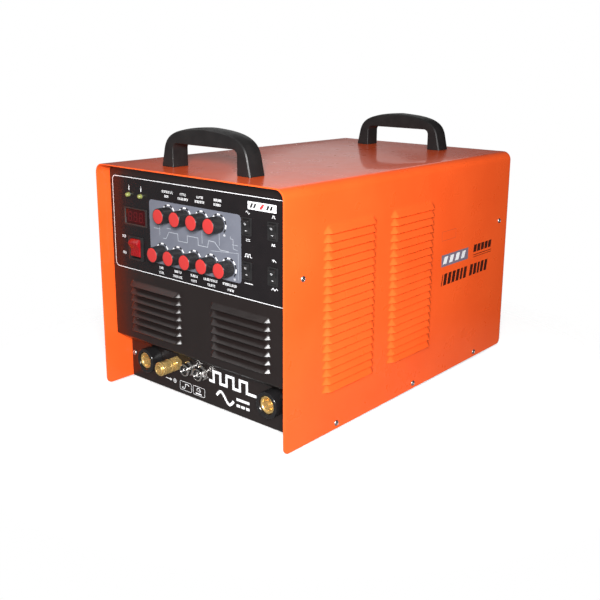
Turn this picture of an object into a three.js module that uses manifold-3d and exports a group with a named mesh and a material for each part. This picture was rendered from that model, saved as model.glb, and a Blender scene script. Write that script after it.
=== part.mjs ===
// Portable AC/DC TIG welding power source, in millimetres.
// +Z is up, the controls face -Y, and the origin is the centre of the footprint on the floor.
// A folded steel cover sits over a base plate between a front and a rear panel. The front panel carries the
// controls and the output sockets, the rear panel the fan, the gas inlet and the cable gland.

import * as THREE from "three";
import { mergeVertices } from "three/addons/utils/BufferGeometryUtils.js";
import Module from "manifold-3d";

const wasm = await Module();
wasm.setup();

// ---------------------------------------------------------------- driving dimensions

const COVER = { width: 320, length: 498, height: 296, sheet: 1.5, bend: 12, corner: 8 };
const FLOOR_GAP = 9; // from the floor to the cover's lower edge
const GAP = 0.3; // between pieces that touch
const FIT = 0.4; // between the cover and the panels inside it

const FRONT = -COVER.length / 2;
const BACK = COVER.length / 2;
const BOTTOM = FLOOR_GAP;
const TOP = BOTTOM + COVER.height;
const INNER_X = COVER.width / 2 - COVER.sheet;
const PANEL_X = INNER_X - FIT;
const PANEL_TOP = TOP - COVER.sheet - FIT;
const SHEET = 1.5;

// Recesses behind the cover's front and back edges.
const PANEL_Y = FRONT + 19; // face of the control panel
const SOCKET_Y = FRONT + 42; // face of the socket panel below it
const REAR_Y = BACK - 14; // outside face of the rear panel
const KNEE_TOP = BOTTOM + 67.6; // where the control panel folds back
const KNEE_BOTTOM = BOTTOM + 53.8; // where the socket panel starts

const BASE = { z: BOTTOM + 1, flange: 20, front: SOCKET_Y + SHEET + 0.8, back: REAR_Y - SHEET - GAP };

const SIDE_LOUVRES = {
  starts: [64.5, 192.5], width: 100, lowest: 53, pitch: 9.81, count: 20, height: 9.3, out: 6, slant: 9.7,
};
const FRONT_LOUVRES = {
  centres: [-74.5, 74.5], width: 97.5, lowest: 81.6, pitch: 9.93, count: 7, height: 8, out: 5, slant: 6,
};
const LOUVRE_SHEET = 1.2;

const KNOB = { radius: 9.9, tip: 9.6, height: 18, cap: 8.7, shaft: 3, pitch: 29, stand: 0.5 };
const KNOB_ROWS = [
  { x: 0, z: BOTTOM + 241.7, names: ["pre_flow", "peak_current", "base_current", "down_slope"] },
  {
    x: 1, z: BOTTOM + 192.7,
    names: ["arc_force", "pulse_frequency", "pulse_duty", "clean_width", "post_flow"],
  },
];
const KNOBS = KNOB_ROWS.flatMap((row) =>
  row.names.map((name, i) => ({ name, x: row.x + (i - (row.names.length - 1) / 2) * KNOB.pitch, z: row.z })),
);

const SWITCH = {
  bezel: [15, 21, 2], housing: [12.6, 18.8, 13.5], cavity: [10.6, 17.4], pivot: 1.6, swing: 12,
  rocker: { width: 10, tip: [3.3, 7.7], middle: 1.8, side: 8.35, back: [2.6, 7.9] },
};
const SWITCHES = [
  { name: "output", x: 88.6, z: BOTTOM + 245.2 },
  { name: "trigger", x: 128, z: BOTTOM + 245.2 },
  { name: "pulse", x: 88.6, z: BOTTOM + 195 },
  { name: "process", x: 128, z: BOTTOM + 195 },
];
const POWER_SWITCH = {
  bezel: [28, 31, 2.5], housing: [22.4, 27, 22], cavity: [19.2, 25.6], pivot: 2.6, swing: 13,
  rocker: { width: 18.6, tip: [6, 11], middle: 3.4, side: 12.4, back: [3.4, 11.9] },
};
const POWER = { name: "power", x: -107.3, z: BOTTOM + 190.6 };

const LAMP = { radius: 4, out: 4, x: [-117.8, -94], z: BOTTOM + 258.6 };
const DISPLAY = { x: -106.4, z: BOTTOM + 231, bezel: [44, 23, 2], window: [33, 17.4], cutout: [36, 20] };
const OVERLAY = { halfWidth: 152, low: BOTTOM + 160.5, high: BOTTOM + 281.5, radius: 6, sheet: 0.4 };

const OUTPUT = {
  x: 109.5, z: BOTTOM + 37, collar: 16.5, out: 17, sunk: 3, neck: 13.6, hex: 19, bore: 6.5, depth: 23,
};
const COUPLER = { x: -63.7, z: BOTTOM + 40.6, out: 32, core: 6.4, bore: 4.5, sleeve: 8.4, hex: 17 };
const SIGNAL = {
  x: [-38.5, -14.2], z: BOTTOM + 40.4, flange: 10, thread: 8, out: 12, cavity: 6.3, depth: 6.5,
};

const HANDLE = { foot: 77, depth: 25, gapHalf: 54.5, gapHeight: 29, height: 49, front: [37, 434], bevel: 2 };
const FEET = { x: 120, y: 165, top: 14, bottom: 12 };

const FAN = { x: 0, z: 122, size: 120, depth: 25, bore: 57, rotor: 55, hub: 20, blades: 7 };
const REAR_PORTS = { inlet: [112, 62], gland: [-112, 62] };
const HEAT_SINK = { width: 136, length: 230, foot: 8, height: 84, fins: 12, fin: 2.4, front: -40 };
const BOARD = { width: 250, length: 250, sheet: 1.6, z: 190, front: -60 };

// ---------------------------------------------------------------- materials

function paint(color, roughness, metalness = 0) {
  return new THREE.MeshStandardMaterial({ color, roughness, metalness });
}

const orangePaint = paint(0xf4581a, 0.3);
const blackPaint = paint(0x17161a, 0.25);
const blackPlastic = paint(0x1b1b1d, 0.5);
const handlePlastic = paint(0x242424, 0.6);
const redPlastic = paint(0xe0302c, 0.45);
const redLens = paint(0xc01218, 0.2);
const greenLens = paint(0xb8c850, 0.25);
const darkLens = paint(0x3a0d10, 0.15);
const greyPrint = paint(0x7d8290, 0.4);
const brass = paint(0xb8913f, 0.3, 1);
const nickel = paint(0xc9c7c4, 0.2, 1);
const rubber = paint(0x202020, 0.9);
const aluminium = paint(0xb4b6b8, 0.4, 1);
const zincSteel = paint(0x9a9c9e, 0.45, 1);
const boardGreen = paint(0x1f5a34, 0.5);
const ferrite = paint(0x4a443c, 0.7);

// ---------------------------------------------------------------- solids

// A closed three.js geometry as a manifold-3d solid that faces out.
function solid(geometry) {
  const bare = new THREE.BufferGeometry();
  bare.setAttribute("position", geometry.getAttribute("position"));
  bare.setIndex(geometry.index);
  const merged = mergeVertices(bare.index ? bare.toNonIndexed() : bare, 1e-4);
  const vertProperties = merged.getAttribute("position").array;
  const triVerts = new Uint32Array(merged.index.array);
  const made = new wasm.Manifold(new wasm.Mesh({ numProp: 3, vertProperties, triVerts }));
  if (made.volume() > 0) return made;
  for (let i = 0; i < triVerts.length; i += 3)
    [triVerts[i], triVerts[i + 1]] = [triVerts[i + 1], triVerts[i]];
  return new wasm.Manifold(new wasm.Mesh({ numProp: 3, vertProperties, triVerts }));
}

function geometryOf(made) {
  const mesh = made.getMesh();
  const geometry = new THREE.BufferGeometry();
  geometry.setAttribute("position", new THREE.BufferAttribute(new Float32Array(mesh.vertProperties), 3));
  geometry.setIndex(new THREE.BufferAttribute(new Uint32Array(mesh.triVerts), 1));
  geometry.computeVertexNormals();
  return geometry;
}

const join = (solids) => solids.reduce((all, one) => all.add(one));
const cut = (from, tools) => tools.reduce((left, tool) => left.subtract(tool), from);

function box(x0, x1, y0, y1, z0, z1) {
  const geometry = new THREE.BoxGeometry(x1 - x0, y1 - y0, z1 - z0);
  return solid(geometry.translate((x0 + x1) / 2, (y0 + y1) / 2, (z0 + z1) / 2));
}

// A box centred on (x, z) and running from y0 to y1.
function plug(x, z, width, height, y0, y1) {
  return box(x - width / 2, x + width / 2, y0, y1, z - height / 2, z + height / 2);
}

// A round bar along Y.
function rod(x, z, radius, y0, y1, sides = 16) {
  const geometry = new THREE.CylinderGeometry(radius, radius, y1 - y0, sides);
  return solid(geometry.translate(x, (y0 + y1) / 2, z));
}

// A hexagonal bar along Y, measured across its flats.
const hexBar = (x, z, flats, y0, y1) => rod(x, z, flats / Math.sqrt(3), y0, y1, 6);

// A shape turned about an axis along Y. The profile is a list of [radius, y].
function turned(x, z, profile, sides = 16) {
  const points = profile.map(([radius, y]) => new THREE.Vector2(radius, y));
  return solid(new THREE.LatheGeometry(points, sides).translate(x, 0, z));
}

// Outlines of (x, z) points extruded along Y.
function alongY(shape, y0, y1, options = {}) {
  const plain = { depth: y1 - y0, bevelEnabled: false, curveSegments: 2 };
  const geometry = new THREE.ExtrudeGeometry(shape, { ...plain, ...options });
  return solid(geometry.rotateX(Math.PI / 2).translate(0, y1, 0));
}

// Outlines of (y, z) points extruded along X.
function alongX(shape, x0, x1) {
  const options = { depth: x1 - x0, bevelEnabled: false, curveSegments: 3 };
  const geometry = new THREE.ExtrudeGeometry(shape, options);
  const turn = new THREE.Matrix4().makeBasis(
    new THREE.Vector3(0, 1, 0), new THREE.Vector3(0, 0, 1), new THREE.Vector3(1, 0, 0),
  );
  return solid(geometry.applyMatrix4(turn).translate(x0, 0, 0));
}

const polygon = (points) => new THREE.Shape(points.map(([a, b]) => new THREE.Vector2(a, b)));

// A rectangle whose corners can each be rounded: radii are [low left, low right, high right, high left].
function roundedRect(x0, x1, z0, z1, radii) {
  const [lowLeft, lowRight, highRight, highLeft] = typeof radii === "number" ? Array(4).fill(radii) : radii;
  const shape = new THREE.Shape();
  const corner = (x, z, radius, start) => {
    if (radius > 0) shape.absarc(x, z, radius, start, start + Math.PI / 2, false);
    else shape.lineTo(x, z);
  };
  shape.moveTo(x0 + lowLeft, z0);
  shape.lineTo(x1 - lowRight, z0);
  corner(x1 - lowRight, z0 + lowRight, lowRight, -Math.PI / 2);
  shape.lineTo(x1, z1 - highRight);
  corner(x1 - highRight, z1 - highRight, highRight, 0);
  shape.lineTo(x0 + highLeft, z1);
  corner(x0 + highLeft, z1 - highLeft, highLeft, Math.PI / 2);
  shape.lineTo(x0, z0 + lowLeft);
  corner(x0 + lowLeft, z0 + lowLeft, lowLeft, Math.PI);
  return shape;
}

// A convex solid from eight corners: four round the first end, then the four that they run to.
function hull8(first, last) {
  const positions = new Float32Array([...first, ...last].flat());
  const quads = [[3, 2, 1, 0], [4, 5, 6, 7], [0, 1, 5, 4], [1, 2, 6, 5], [2, 3, 7, 6], [3, 0, 4, 7]];
  const faces = quads.flatMap(([a, b, c, d]) => [a, b, c, a, c, d]);
  const geometry = new THREE.BufferGeometry();
  geometry.setAttribute("position", new THREE.BufferAttribute(positions, 3));
  geometry.setIndex(faces);
  return solid(geometry);
}

// ---------------------------------------------------------------- louvres

// A pressed louvre on a sheet, open below. `place(along, out, z)` maps a point to the part's frame.
// The hood and the hollow under it are two of these, one inside the other.
function louvreWedge(place, { start, end, low, high, out, slant, root }) {
  const ridge = out - (out + root) * 0.96;
  const end4 = (u, lip) => [
    place(u, -root, low), place(lip, out, low), place(lip, ridge, high), place(u, -root, high),
  ];
  return hull8(end4(start, start + slant), end4(end, end - slant));
}

function louvre(place, { start, width, lip, height, out, slant }) {
  const t = LOUVRE_SHEET;
  const hood = louvreWedge(place, {
    start, end: start + width, low: lip, high: lip + height, out, slant, root: 0.4,
  });
  const hollow = louvreWedge(place, {
    start: start + t * 1.5, end: start + width - t * 1.5, low: lip - 0.4, high: lip + height - t * 1.6,
    out: out - t, slant, root: SHEET + 1.5,
  });
  return { hood, hollow };
}

function pressLouvres(sheet, louvres) {
  return cut(join([sheet, ...louvres.map((one) => one.hood)]), louvres.map((one) => one.hollow));
}

// ---------------------------------------------------------------- housing

function topCover() {
  const { width, length, sheet, bend, corner } = COVER;
  const outer = alongY(roundedRect(-width / 2, width / 2, BOTTOM, TOP, [0, 0, bend, bend]), FRONT, BACK);
  const hollow = roundedRect(-INNER_X, INNER_X, BOTTOM - 10, TOP - sheet, [0, 0, bend - sheet, bend - sheet]);
  const inner = alongY(hollow, FRONT - 1, BACK + 1);
  const skirt = alongX(roundedRect(FRONT, BACK, BOTTOM, TOP + 1, [corner, corner, 0, 0]), -width, width);
  const shell = outer.subtract(inner).intersect(skirt);
  const louvres = [-1, 1].flatMap((side) =>
    SIDE_LOUVRES.starts.flatMap((start) =>
      Array.from({ length: SIDE_LOUVRES.count }, (_, i) =>
        louvre((along, out, z) => [side * (width / 2 + out), along, z], {
          ...SIDE_LOUVRES, start: FRONT + start, lip: BOTTOM + SIDE_LOUVRES.lowest + i * SIDE_LOUVRES.pitch,
        }),
      ),
    ),
  );
  return pressLouvres(shell, louvres);
}

function basePlate() {
  const { z, flange, front, back } = BASE;
  const floor = box(-PANEL_X, PANEL_X, front, back, z, z + SHEET);
  const sides = [-1, 1].map((side) => {
    const [x0, x1] = [side * PANEL_X, side * (PANEL_X - SHEET)].sort((a, b) => a - b);
    return box(x0, x1, front, back, z, z + flange);
  });
  const slot = { count: 6, half: 25, width: 6, pitch: 14, front: -160 };
  const vents = [-80, 0, 80].flatMap((x) =>
    Array.from({ length: slot.count }, (_, i) => {
      const y = slot.front + i * slot.pitch;
      return box(x - slot.half, x + slot.half, y, y + slot.width, z - 1, z + SHEET + 1);
    }),
  );
  return cut(join([floor, ...sides]), vents);
}

// A panel's side flanges, folded towards the inside of the machine.
function sideFlanges(y0, y1, z0, z1) {
  return [-1, 1].map((side) => {
    const [x0, x1] = [side * PANEL_X, side * (PANEL_X - SHEET)].sort((a, b) => a - b);
    return box(x0, x1, y0, y1, z0, z1);
  });
}

function frontPanel() {
  const face = polygon([
    [PANEL_Y, PANEL_TOP], [PANEL_Y, KNEE_TOP], [SOCKET_Y, KNEE_BOTTOM], [SOCKET_Y, BOTTOM + 0.5],
    [SOCKET_Y + SHEET, BOTTOM + 0.5], [SOCKET_Y + SHEET, KNEE_BOTTOM + 0.9],
    [PANEL_Y + SHEET, KNEE_TOP + 0.9], [PANEL_Y + SHEET, PANEL_TOP],
  ]);
  const round = COVER.bend - COVER.sheet - FIT;
  const outline = alongY(
    roundedRect(-PANEL_X, PANEL_X, BOTTOM, PANEL_TOP, [0, 0, round, round]), FRONT, SOCKET_Y + 40,
  );
  const sheet = alongX(face, -PANEL_X, PANEL_X).intersect(outline);
  const flanges = [
    ...sideFlanges(PANEL_Y, SOCKET_Y, KNEE_TOP + 1, PANEL_TOP - COVER.bend - 2),
    box(-PANEL_X + 20, PANEL_X - 20, PANEL_Y, PANEL_Y + 18, PANEL_TOP - SHEET, PANEL_TOP),
  ];
  const louvres = FRONT_LOUVRES.centres.flatMap((centre) =>
    Array.from({ length: FRONT_LOUVRES.count }, (_, i) =>
      louvre((along, out, z) => [along, PANEL_Y - out, z], {
        ...FRONT_LOUVRES, start: centre - FRONT_LOUVRES.width / 2,
        lip: BOTTOM + FRONT_LOUVRES.lowest + i * FRONT_LOUVRES.pitch,
      }),
    ),
  );
  return cut(pressLouvres(join([sheet, ...flanges]), louvres), frontCutouts());
}

function frontCutouts() {
  const [y0, y1] = [PANEL_Y - 1, PANEL_Y + 3];
  const [s0, s1] = [SOCKET_Y - 1, SOCKET_Y + 3];
  const opening = ({ x, z }, { housing }) => plug(x, z, housing[0] + 0.6, housing[1] + 0.6, y0, y1);
  return [
    ...KNOBS.map(({ x, z }) => rod(x, z, KNOB.shaft + 1, y0, y1, 8)),
    ...SWITCHES.map((at) => opening(at, SWITCH)),
    opening(POWER, POWER_SWITCH),
    ...LAMP.x.map((x) => rod(x, LAMP.z, 2.9, y0, y1, 12)),
    plug(DISPLAY.x, DISPLAY.z, ...DISPLAY.cutout, y0, y1),
    ...[-1, 1].map((side) => rod(side * OUTPUT.x, OUTPUT.z, OUTPUT.neck + 2 * GAP, s0, s1, 24)),
    rod(COUPLER.x, COUPLER.z, 5.4, s0, s1, 12),
    ...SIGNAL.x.map((x) => rod(x, SIGNAL.z, SIGNAL.thread + 2 * GAP, s0, s1, 16)),
  ];
}

function rearPanel() {
  const inside = REAR_Y - SHEET;
  const round = COVER.bend - COVER.sheet - FIT;
  const outline = roundedRect(-PANEL_X, PANEL_X, BOTTOM + 0.5, PANEL_TOP, [0, 0, round, round]);
  const sheet = alongY(outline, inside, REAR_Y);
  const flanges = [
    ...sideFlanges(inside - 24, REAR_Y, BASE.z + BASE.flange + 1, PANEL_TOP - COVER.bend - 2),
    box(-PANEL_X + 20, PANEL_X - 20, inside - 16, REAR_Y, PANEL_TOP - SHEET, PANEL_TOP),
  ];
  const slots = [];
  const [pitch, slot, web, reach] = [9, 5, 6, FAN.bore - 3];
  for (let row = -5; row <= 5; row++) {
    const half = Math.sqrt(reach ** 2 - (Math.abs(row) * pitch + slot / 2) ** 2);
    const z = FAN.z + row * pitch;
    for (const side of [-1, 1]) {
      const [x0, x1] = [side * web, side * half].sort((a, b) => a - b);
      slots.push(box(FAN.x + x0, FAN.x + x1, inside - 1, REAR_Y + 1, z - slot / 2, z + slot / 2));
    }
  }
  const ports = [
    rod(...REAR_PORTS.inlet, 6.4, inside - 1, REAR_Y + 1, 16),
    rod(...REAR_PORTS.gland, 10.4, inside - 1, REAR_Y + 1, 16),
  ];
  return cut(join([sheet, ...flanges]), [...slots, ...ports]);
}

// ---------------------------------------------------------------- handles and feet

// An arch with a flat-sided opening for the fingers. The outer curve leans in, turns and crowns at the top.
function handle(front) {
  const { foot, gapHalf, gapHeight, height, depth, bevel } = HANDLE;
  const base = TOP + GAP;
  const arch = new THREE.Shape();
  const [out, top] = [foot - bevel, height - GAP - bevel];
  arch.moveTo(-out, 0);
  arch.lineTo(-gapHalf - bevel, 0);
  arch.lineTo(-gapHalf - bevel, gapHeight - 6 + bevel);
  arch.quadraticCurveTo(-gapHalf - bevel, gapHeight + bevel, -gapHalf + 6, gapHeight + bevel);
  arch.lineTo(gapHalf - 6, gapHeight + bevel);
  arch.quadraticCurveTo(gapHalf + bevel, gapHeight + bevel, gapHalf + bevel, gapHeight - 6 + bevel);
  arch.lineTo(gapHalf + bevel, 0);
  arch.lineTo(out, 0);
  arch.lineTo(out - 5, 22);
  arch.bezierCurveTo(out - 10, top - 8, out - 26, top, 0, top);
  arch.bezierCurveTo(-out + 26, top, -out + 10, top - 8, -out + 5, 22);
  const rounding = { bevelEnabled: true, bevelSize: bevel, bevelThickness: bevel, bevelSegments: 2 };
  const [y0, y1] = [FRONT + front + bevel, FRONT + front + depth - bevel];
  const made = alongY(arch, y0, y1, { ...rounding, curveSegments: 5 }).translate(0, 0, base + bevel);
  const floor = box(-200, 200, FRONT, BACK, base - 20, base);
  const sockets = [-1, 1].map((side) => box(
    side * 66 - 6, side * 66 + 6, FRONT + front + 8, FRONT + front + depth - 8, base - 1, base + 14,
  ));
  return cut(made, [floor, ...sockets]);
}

function foot(x, y) {
  const top = BASE.z - GAP;
  const profile = [[0, 0], [FEET.bottom - 1.5, 0], [FEET.bottom, 1.5], [FEET.top, top], [0, top]];
  const points = profile.map(([radius, z]) => new THREE.Vector2(radius, z));
  return solid(new THREE.LatheGeometry(points, 16).rotateX(Math.PI / 2).translate(x, y, 0));
}

// ---------------------------------------------------------------- controls

const FACE_Y = PANEL_Y - GAP; // what stands on the control panel rests here
const OVERLAY_FRONT = FACE_Y - OVERLAY.sheet;

function controlOverlay() {
  const { halfWidth, low, high, radius } = OVERLAY;
  const sheet = alongY(roundedRect(-halfWidth, halfWidth, low, high, radius), OVERLAY_FRONT, FACE_Y);
  const [y0, y1] = [OVERLAY_FRONT - 1, FACE_Y + 1];
  const around = ({ x, z }, [width, height]) => plug(x, z, width + 2 * GAP, height + 2 * GAP, y0, y1);
  return cut(sheet, [
    ...KNOBS.map(({ x, z }) => rod(x, z, KNOB.shaft + 1.5, y0, y1, 8)),
    ...SWITCHES.map((at) => around(at, SWITCH.bezel)),
    around(POWER, POWER_SWITCH.bezel),
    around(DISPLAY, DISPLAY.bezel),
    ...LAMP.x.map((x) => rod(x, LAMP.z, LAMP.radius + GAP, y0, y1, 16)),
  ]);
}

// A knob with a shaft behind it, a pointer rib on its side and a pocket for its cap. It is shown turned fully
// back, with the rib at half past seven.
function knob(x, z) {
  const back = OVERLAY_FRONT - KNOB.stand;
  const front = PANEL_Y - KNOB.height;
  const pocket = front + 1.4;
  const body = turned(x, z, [
    [0, pocket], [KNOB.cap + GAP, pocket], [KNOB.cap + GAP, front], [KNOB.tip, front], [KNOB.radius, back],
    [KNOB.shaft, back], [KNOB.shaft, back + 11], [0, back + 11],
  ]);
  const angle = THREE.MathUtils.degToRad(-135);
  const [ribX, ribZ] = [x + Math.cos(angle) * KNOB.radius, z + Math.sin(angle) * KNOB.radius];
  const rib = new THREE.BoxGeometry(1.2, back - front - 0.4, 1.6).rotateY(-angle);
  return body.add(solid(rib.translate(ribX, (back + front + 0.4) / 2, ribZ)));
}

function knobCap(x, z) {
  const front = PANEL_Y - KNOB.height;
  const rim = front - 0.2;
  return turned(x, z, [
    [0, front + 1.1], [KNOB.cap, front + 1.1], [KNOB.cap, rim], [KNOB.cap - 0.8, rim - 0.5], [0, rim - 0.8],
  ]);
}

function bezelOutline({ x, z }, [width, height], radius) {
  return roundedRect(x - width / 2, x + width / 2, z - height / 2, z + height / 2, radius);
}

function switchFrame({ x, z }, { bezel, housing, cavity, pivot, rocker }) {
  const front = FACE_Y - bezel[2];
  const back = FACE_Y + housing[2];
  const floor = front + pivot + Math.hypot(...rocker.back) * 0.62;
  const frame = alongY(bezelOutline({ x, z }, bezel, 1), front, FACE_Y);
  const shell = plug(x, z, housing[0], housing[1], FACE_Y - 0.5, back);
  const legs = [-1, 0, 1].map((i) => plug(x, z + i * housing[1] * 0.3, 4.8, 0.8, back - 0.5, back + 8));
  return join([frame, shell, ...legs]).subtract(plug(x, z, ...cavity, front - 1, floor));
}

// A rocker seen from its side is a shallow V in front of its pivot. At rest its lower end is pressed.
function rockerPaddle({ x, z }, { bezel, pivot, swing, rocker }) {
  const { width, tip, middle, side, back } = rocker;
  const outline = polygon([
    [-tip[0], tip[1]], [-middle, 0], [-tip[0], -tip[1]], [0, -side], [back[0], -back[1]], [back[0], back[1]],
    [0, side],
  ]);
  const paddle = alongX(outline, -width / 2, width / 2).rotate([swing, 0, 0]);
  return paddle.translate(x, FACE_Y - bezel[2] + pivot, z);
}

function displayBezel() {
  const { x, z, bezel, window } = DISPLAY;
  const frame = alongY(bezelOutline(DISPLAY, bezel, 0.8), FACE_Y - bezel[2], FACE_Y);
  return frame.subtract(plug(x, z, window[0] + 2 * GAP, window[1] + 2 * GAP, FACE_Y - 5, FACE_Y + 1));
}

function displayWindow() {
  const { x, z, bezel, window } = DISPLAY;
  return plug(x, z, ...window, FACE_Y - bezel[2] + 0.5, FACE_Y + 6);
}

function lamp(x) {
  const rim = PANEL_Y - GAP;
  return turned(x, LAMP.z, [
    [0, rim - LAMP.out], [1.8, rim - LAMP.out + 0.3], [3.2, rim - LAMP.out + 1.1], [LAMP.radius, rim - 1.4],
    [LAMP.radius, rim], [2.5, rim], [2.5, rim + 7], [0, rim + 7],
  ], 12);
}

// ---------------------------------------------------------------- sockets

const SOCKET_FACE = SOCKET_Y - GAP; // what stands on the socket panel rests here

function outputBody(x) {
  const { z, collar, out, neck, hex } = OUTPUT;
  const front = SOCKET_FACE - out;
  const clear = hex / Math.sqrt(3) + GAP;
  return turned(x, z, [
    [clear, front], [collar - 1, front], [collar, front + 1], [collar, SOCKET_FACE], [neck, SOCKET_FACE],
    [neck, SOCKET_FACE + 9], [clear, SOCKET_FACE + 9], [clear, front],
  ], 24);
}

function outputContact(x) {
  const { z, out, sunk, hex, bore, depth } = OUTPUT;
  const front = SOCKET_FACE - out + sunk;
  const body = hexBar(x, z, hex, front, front + depth + 3);
  const stud = rod(x, z, 5, front + depth + 2, front + depth + 18, 16);
  return body.add(stud).subtract(rod(x, z, bore, front - 1, front + depth));
}

function couplerBody() {
  const { x, z, out, core, bore, hex } = COUPLER;
  const front = SOCKET_FACE - out;
  const pipe = turned(x, z, [
    [bore, front], [core - 0.6, front], [core, front + 0.6], [core, SOCKET_FACE - 5], [5, SOCKET_FACE - 5],
    [5, SOCKET_FACE + 16], [2, SOCKET_FACE + 16], [2, front + 22], [bore, front + 22], [bore, front],
  ]);
  const hole = rod(x, z, 4.8, SOCKET_FACE - 9, SOCKET_FACE + 1);
  const nut = hexBar(x, z, hex, SOCKET_FACE - 8, SOCKET_FACE).subtract(hole);
  return pipe.add(nut);
}

// The ring that is pulled back towards the panel to free the hose plug.
function couplerSleeve() {
  const { x, z, out, core, sleeve } = COUPLER;
  const front = SOCKET_FACE - out + 2;
  const back = SOCKET_FACE - 12;
  const inside = core + GAP;
  return turned(x, z, [
    [inside, front], [sleeve - 0.8, front], [sleeve, front + 0.8], [sleeve, back - 0.8], [sleeve - 0.8, back],
    [inside, back], [inside, front],
  ]);
}

function signalSocket(x) {
  const { z, flange, thread, out, cavity, depth } = SIGNAL;
  const front = SOCKET_FACE - out;
  const shell = turned(x, z, [
    [0, front + depth], [cavity, front + depth], [cavity, front], [thread - 0.5, front],
    [thread, front + 0.5], [thread, SOCKET_FACE - 2], [flange, SOCKET_FACE - 2], [flange, SOCKET_FACE],
    [thread, SOCKET_FACE], [thread, SOCKET_FACE + 8], [0, SOCKET_FACE + 8],
  ]);
  return shell.add(plug(x, z + cavity - 0.2, 2, 1.4, front + 0.8, front + depth + 0.5));
}

// ---------------------------------------------------------------- rear fittings

function gasInlet() {
  const face = REAR_Y + GAP;
  const [x, z] = REAR_PORTS.inlet;
  const barbs = [0, 1, 2].flatMap((i) => [[3.9, face + 4.5 + i * 2.3], [3.1, face + 6.6 + i * 2.3]]);
  const tail = turned(x, z, [
    [2, face + 12], [2, REAR_Y - 12], [6, REAR_Y - 12], [6, face + 1], [4.6, face + 3],
    ...barbs, [2.9, face + 12], [2, face + 12],
  ], 12);
  const nut = hexBar(x, z, 15, face, face + 4).subtract(rod(x, z, 5.5, face - 1, face + 5, 12));
  return tail.add(nut);
}

function cableGland() {
  const face = REAR_Y + GAP;
  const [x, z] = REAR_PORTS.gland;
  const body = turned(x, z, [
    [6, REAR_Y - 9], [10, REAR_Y - 9], [10, face + 4.5], [11.2, face + 5], [11.2, face + 9],
    [8.6, face + 12], [6, face + 12], [6, REAR_Y - 9],
  ]);
  return body.add(hexBar(x, z, 24, face, face + 4.8).subtract(rod(x, z, 9.5, face - 1, face + 6)));
}

// ---------------------------------------------------------------- inside

const FAN_BACK = REAR_Y - SHEET - GAP;

function fanFrame() {
  const { x, z, size, depth, bore, hub } = FAN;
  const front = FAN_BACK - depth;
  const half = size / 2;
  const block = alongY(roundedRect(x - half, x + half, z - half, z + half, 5), front, FAN_BACK);
  const ring = block.subtract(rod(x, z, bore, front - 1, FAN_BACK + 1, 32));
  const mount = rod(x, z, hub, FAN_BACK - 4, FAN_BACK);
  const struts = [45, 135, 225, 315].map((degrees) => {
    const angle = THREE.MathUtils.degToRad(degrees);
    const reach = (hub + bore) / 2;
    return solid(new THREE.BoxGeometry(bore - hub + 6, 3, 5).rotateY(-angle)
      .translate(x + Math.cos(angle) * reach, FAN_BACK - 1.8, z + Math.sin(angle) * reach));
  });
  return join([ring, mount, ...struts]);
}

function fanRotor() {
  const { x, z, rotor, hub, blades, depth } = FAN;
  const [front, back] = [FAN_BACK - depth + 1, FAN_BACK - 5];
  const middle = (front + back) / 2;
  const core = turned(x, z, [[0, front], [hub - 1.5, front], [hub, front + 1.5], [hub, back], [0, back]]);
  const pitch = THREE.MathUtils.degToRad(32);
  const vanes = Array.from({ length: blades }, (_, i) => {
    const angle = (i / blades) * 2 * Math.PI;
    const reach = (hub + rotor) / 2 - 1;
    const vane = new THREE.BoxGeometry(rotor - hub - 1, 1.6, 24).rotateX(pitch).rotateY(-angle);
    return solid(vane.translate(x + Math.cos(angle) * reach, middle, z + Math.sin(angle) * reach));
  });
  const swept = rod(x, z, rotor, front, back, 32);
  return core.add(join(vanes).intersect(swept));
}

function heatSink() {
  const { width, length, foot: sole, height, fins, fin, front } = HEAT_SINK;
  const z = BASE.z + SHEET + GAP;
  const block = box(-width / 2, width / 2, front, front + length, z, z + sole);
  const pitch = (width - fin) / (fins - 1);
  const rows = Array.from({ length: fins }, (_, i) => {
    const x = -width / 2 + i * pitch;
    return box(x, x + fin, front, front + length, z + sole - 1, z + height);
  });
  return join([block, ...rows]);
}

function inverterBoard() {
  const { width, length, sheet, z, front } = BOARD;
  const plate = box(-width / 2, width / 2, front, front + length, z, z + sheet);
  const can = { radius: 17, height: 50, y: front + length - 40 };
  const capacitors = [-90, -45, 45, 90].map((x) => {
    const cylinder = new THREE.CylinderGeometry(can.radius, can.radius, can.height, 12);
    return solid(cylinder.rotateX(Math.PI / 2).translate(x, can.y, z + sheet + can.height / 2 - 1));
  });
  const posts = [-1, 1].flatMap((side) => [20, length - 20].map((y) =>
    box(side * 110 - 4, side * 110 + 4, front + y - 4, front + y + 4, BASE.z + SHEET + GAP, z + 0.5),
  ));
  return join([plate, ...capacitors, ...posts]);
}

function mainTransformer() {
  const [x, y, z] = [0, -130, BASE.z + SHEET + GAP];
  const core = box(x - 45, x + 45, y - 22, y + 22, z, z + 80);
  const windows = [-20, 20].map((middle) => box(middle - 10, middle + 10, y - 30, y + 30, z + 15, z + 65));
  const coil = box(x - 26, x + 26, y - 34, y + 34, z + 17, z + 63);
  return cut(core, windows).add(coil);
}

function controlBoard() {
  const front = PANEL_Y + SHEET + GAP;
  const plate = box(-76, 76, front + 14, front + 15.6, KNOB_ROWS[1].z - 18, KNOB_ROWS[0].z + 18);
  const pots = KNOBS.map(({ x, z }) => rod(x, z, 8, front, front + 14.5, 8));
  const bores = KNOBS.map(({ x, z }) => rod(x, z, KNOB.shaft + 0.6, front - 1, front + 11, 8));
  return cut(join([plate, ...pots]), bores);
}

function gasValve() {
  const [x, z] = REAR_PORTS.inlet;
  const back = REAR_Y - 13;
  const body = box(x - 12, x + 12, back - 34, back, z - 12, z + 12);
  const coil = box(x - 14, x + 14, back - 32, back - 6, z + 11, z + 44);
  return join([body, coil, rod(x, z, 5, back - 48, back - 33, 16)]);
}

// ---------------------------------------------------------------- assembly

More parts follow.
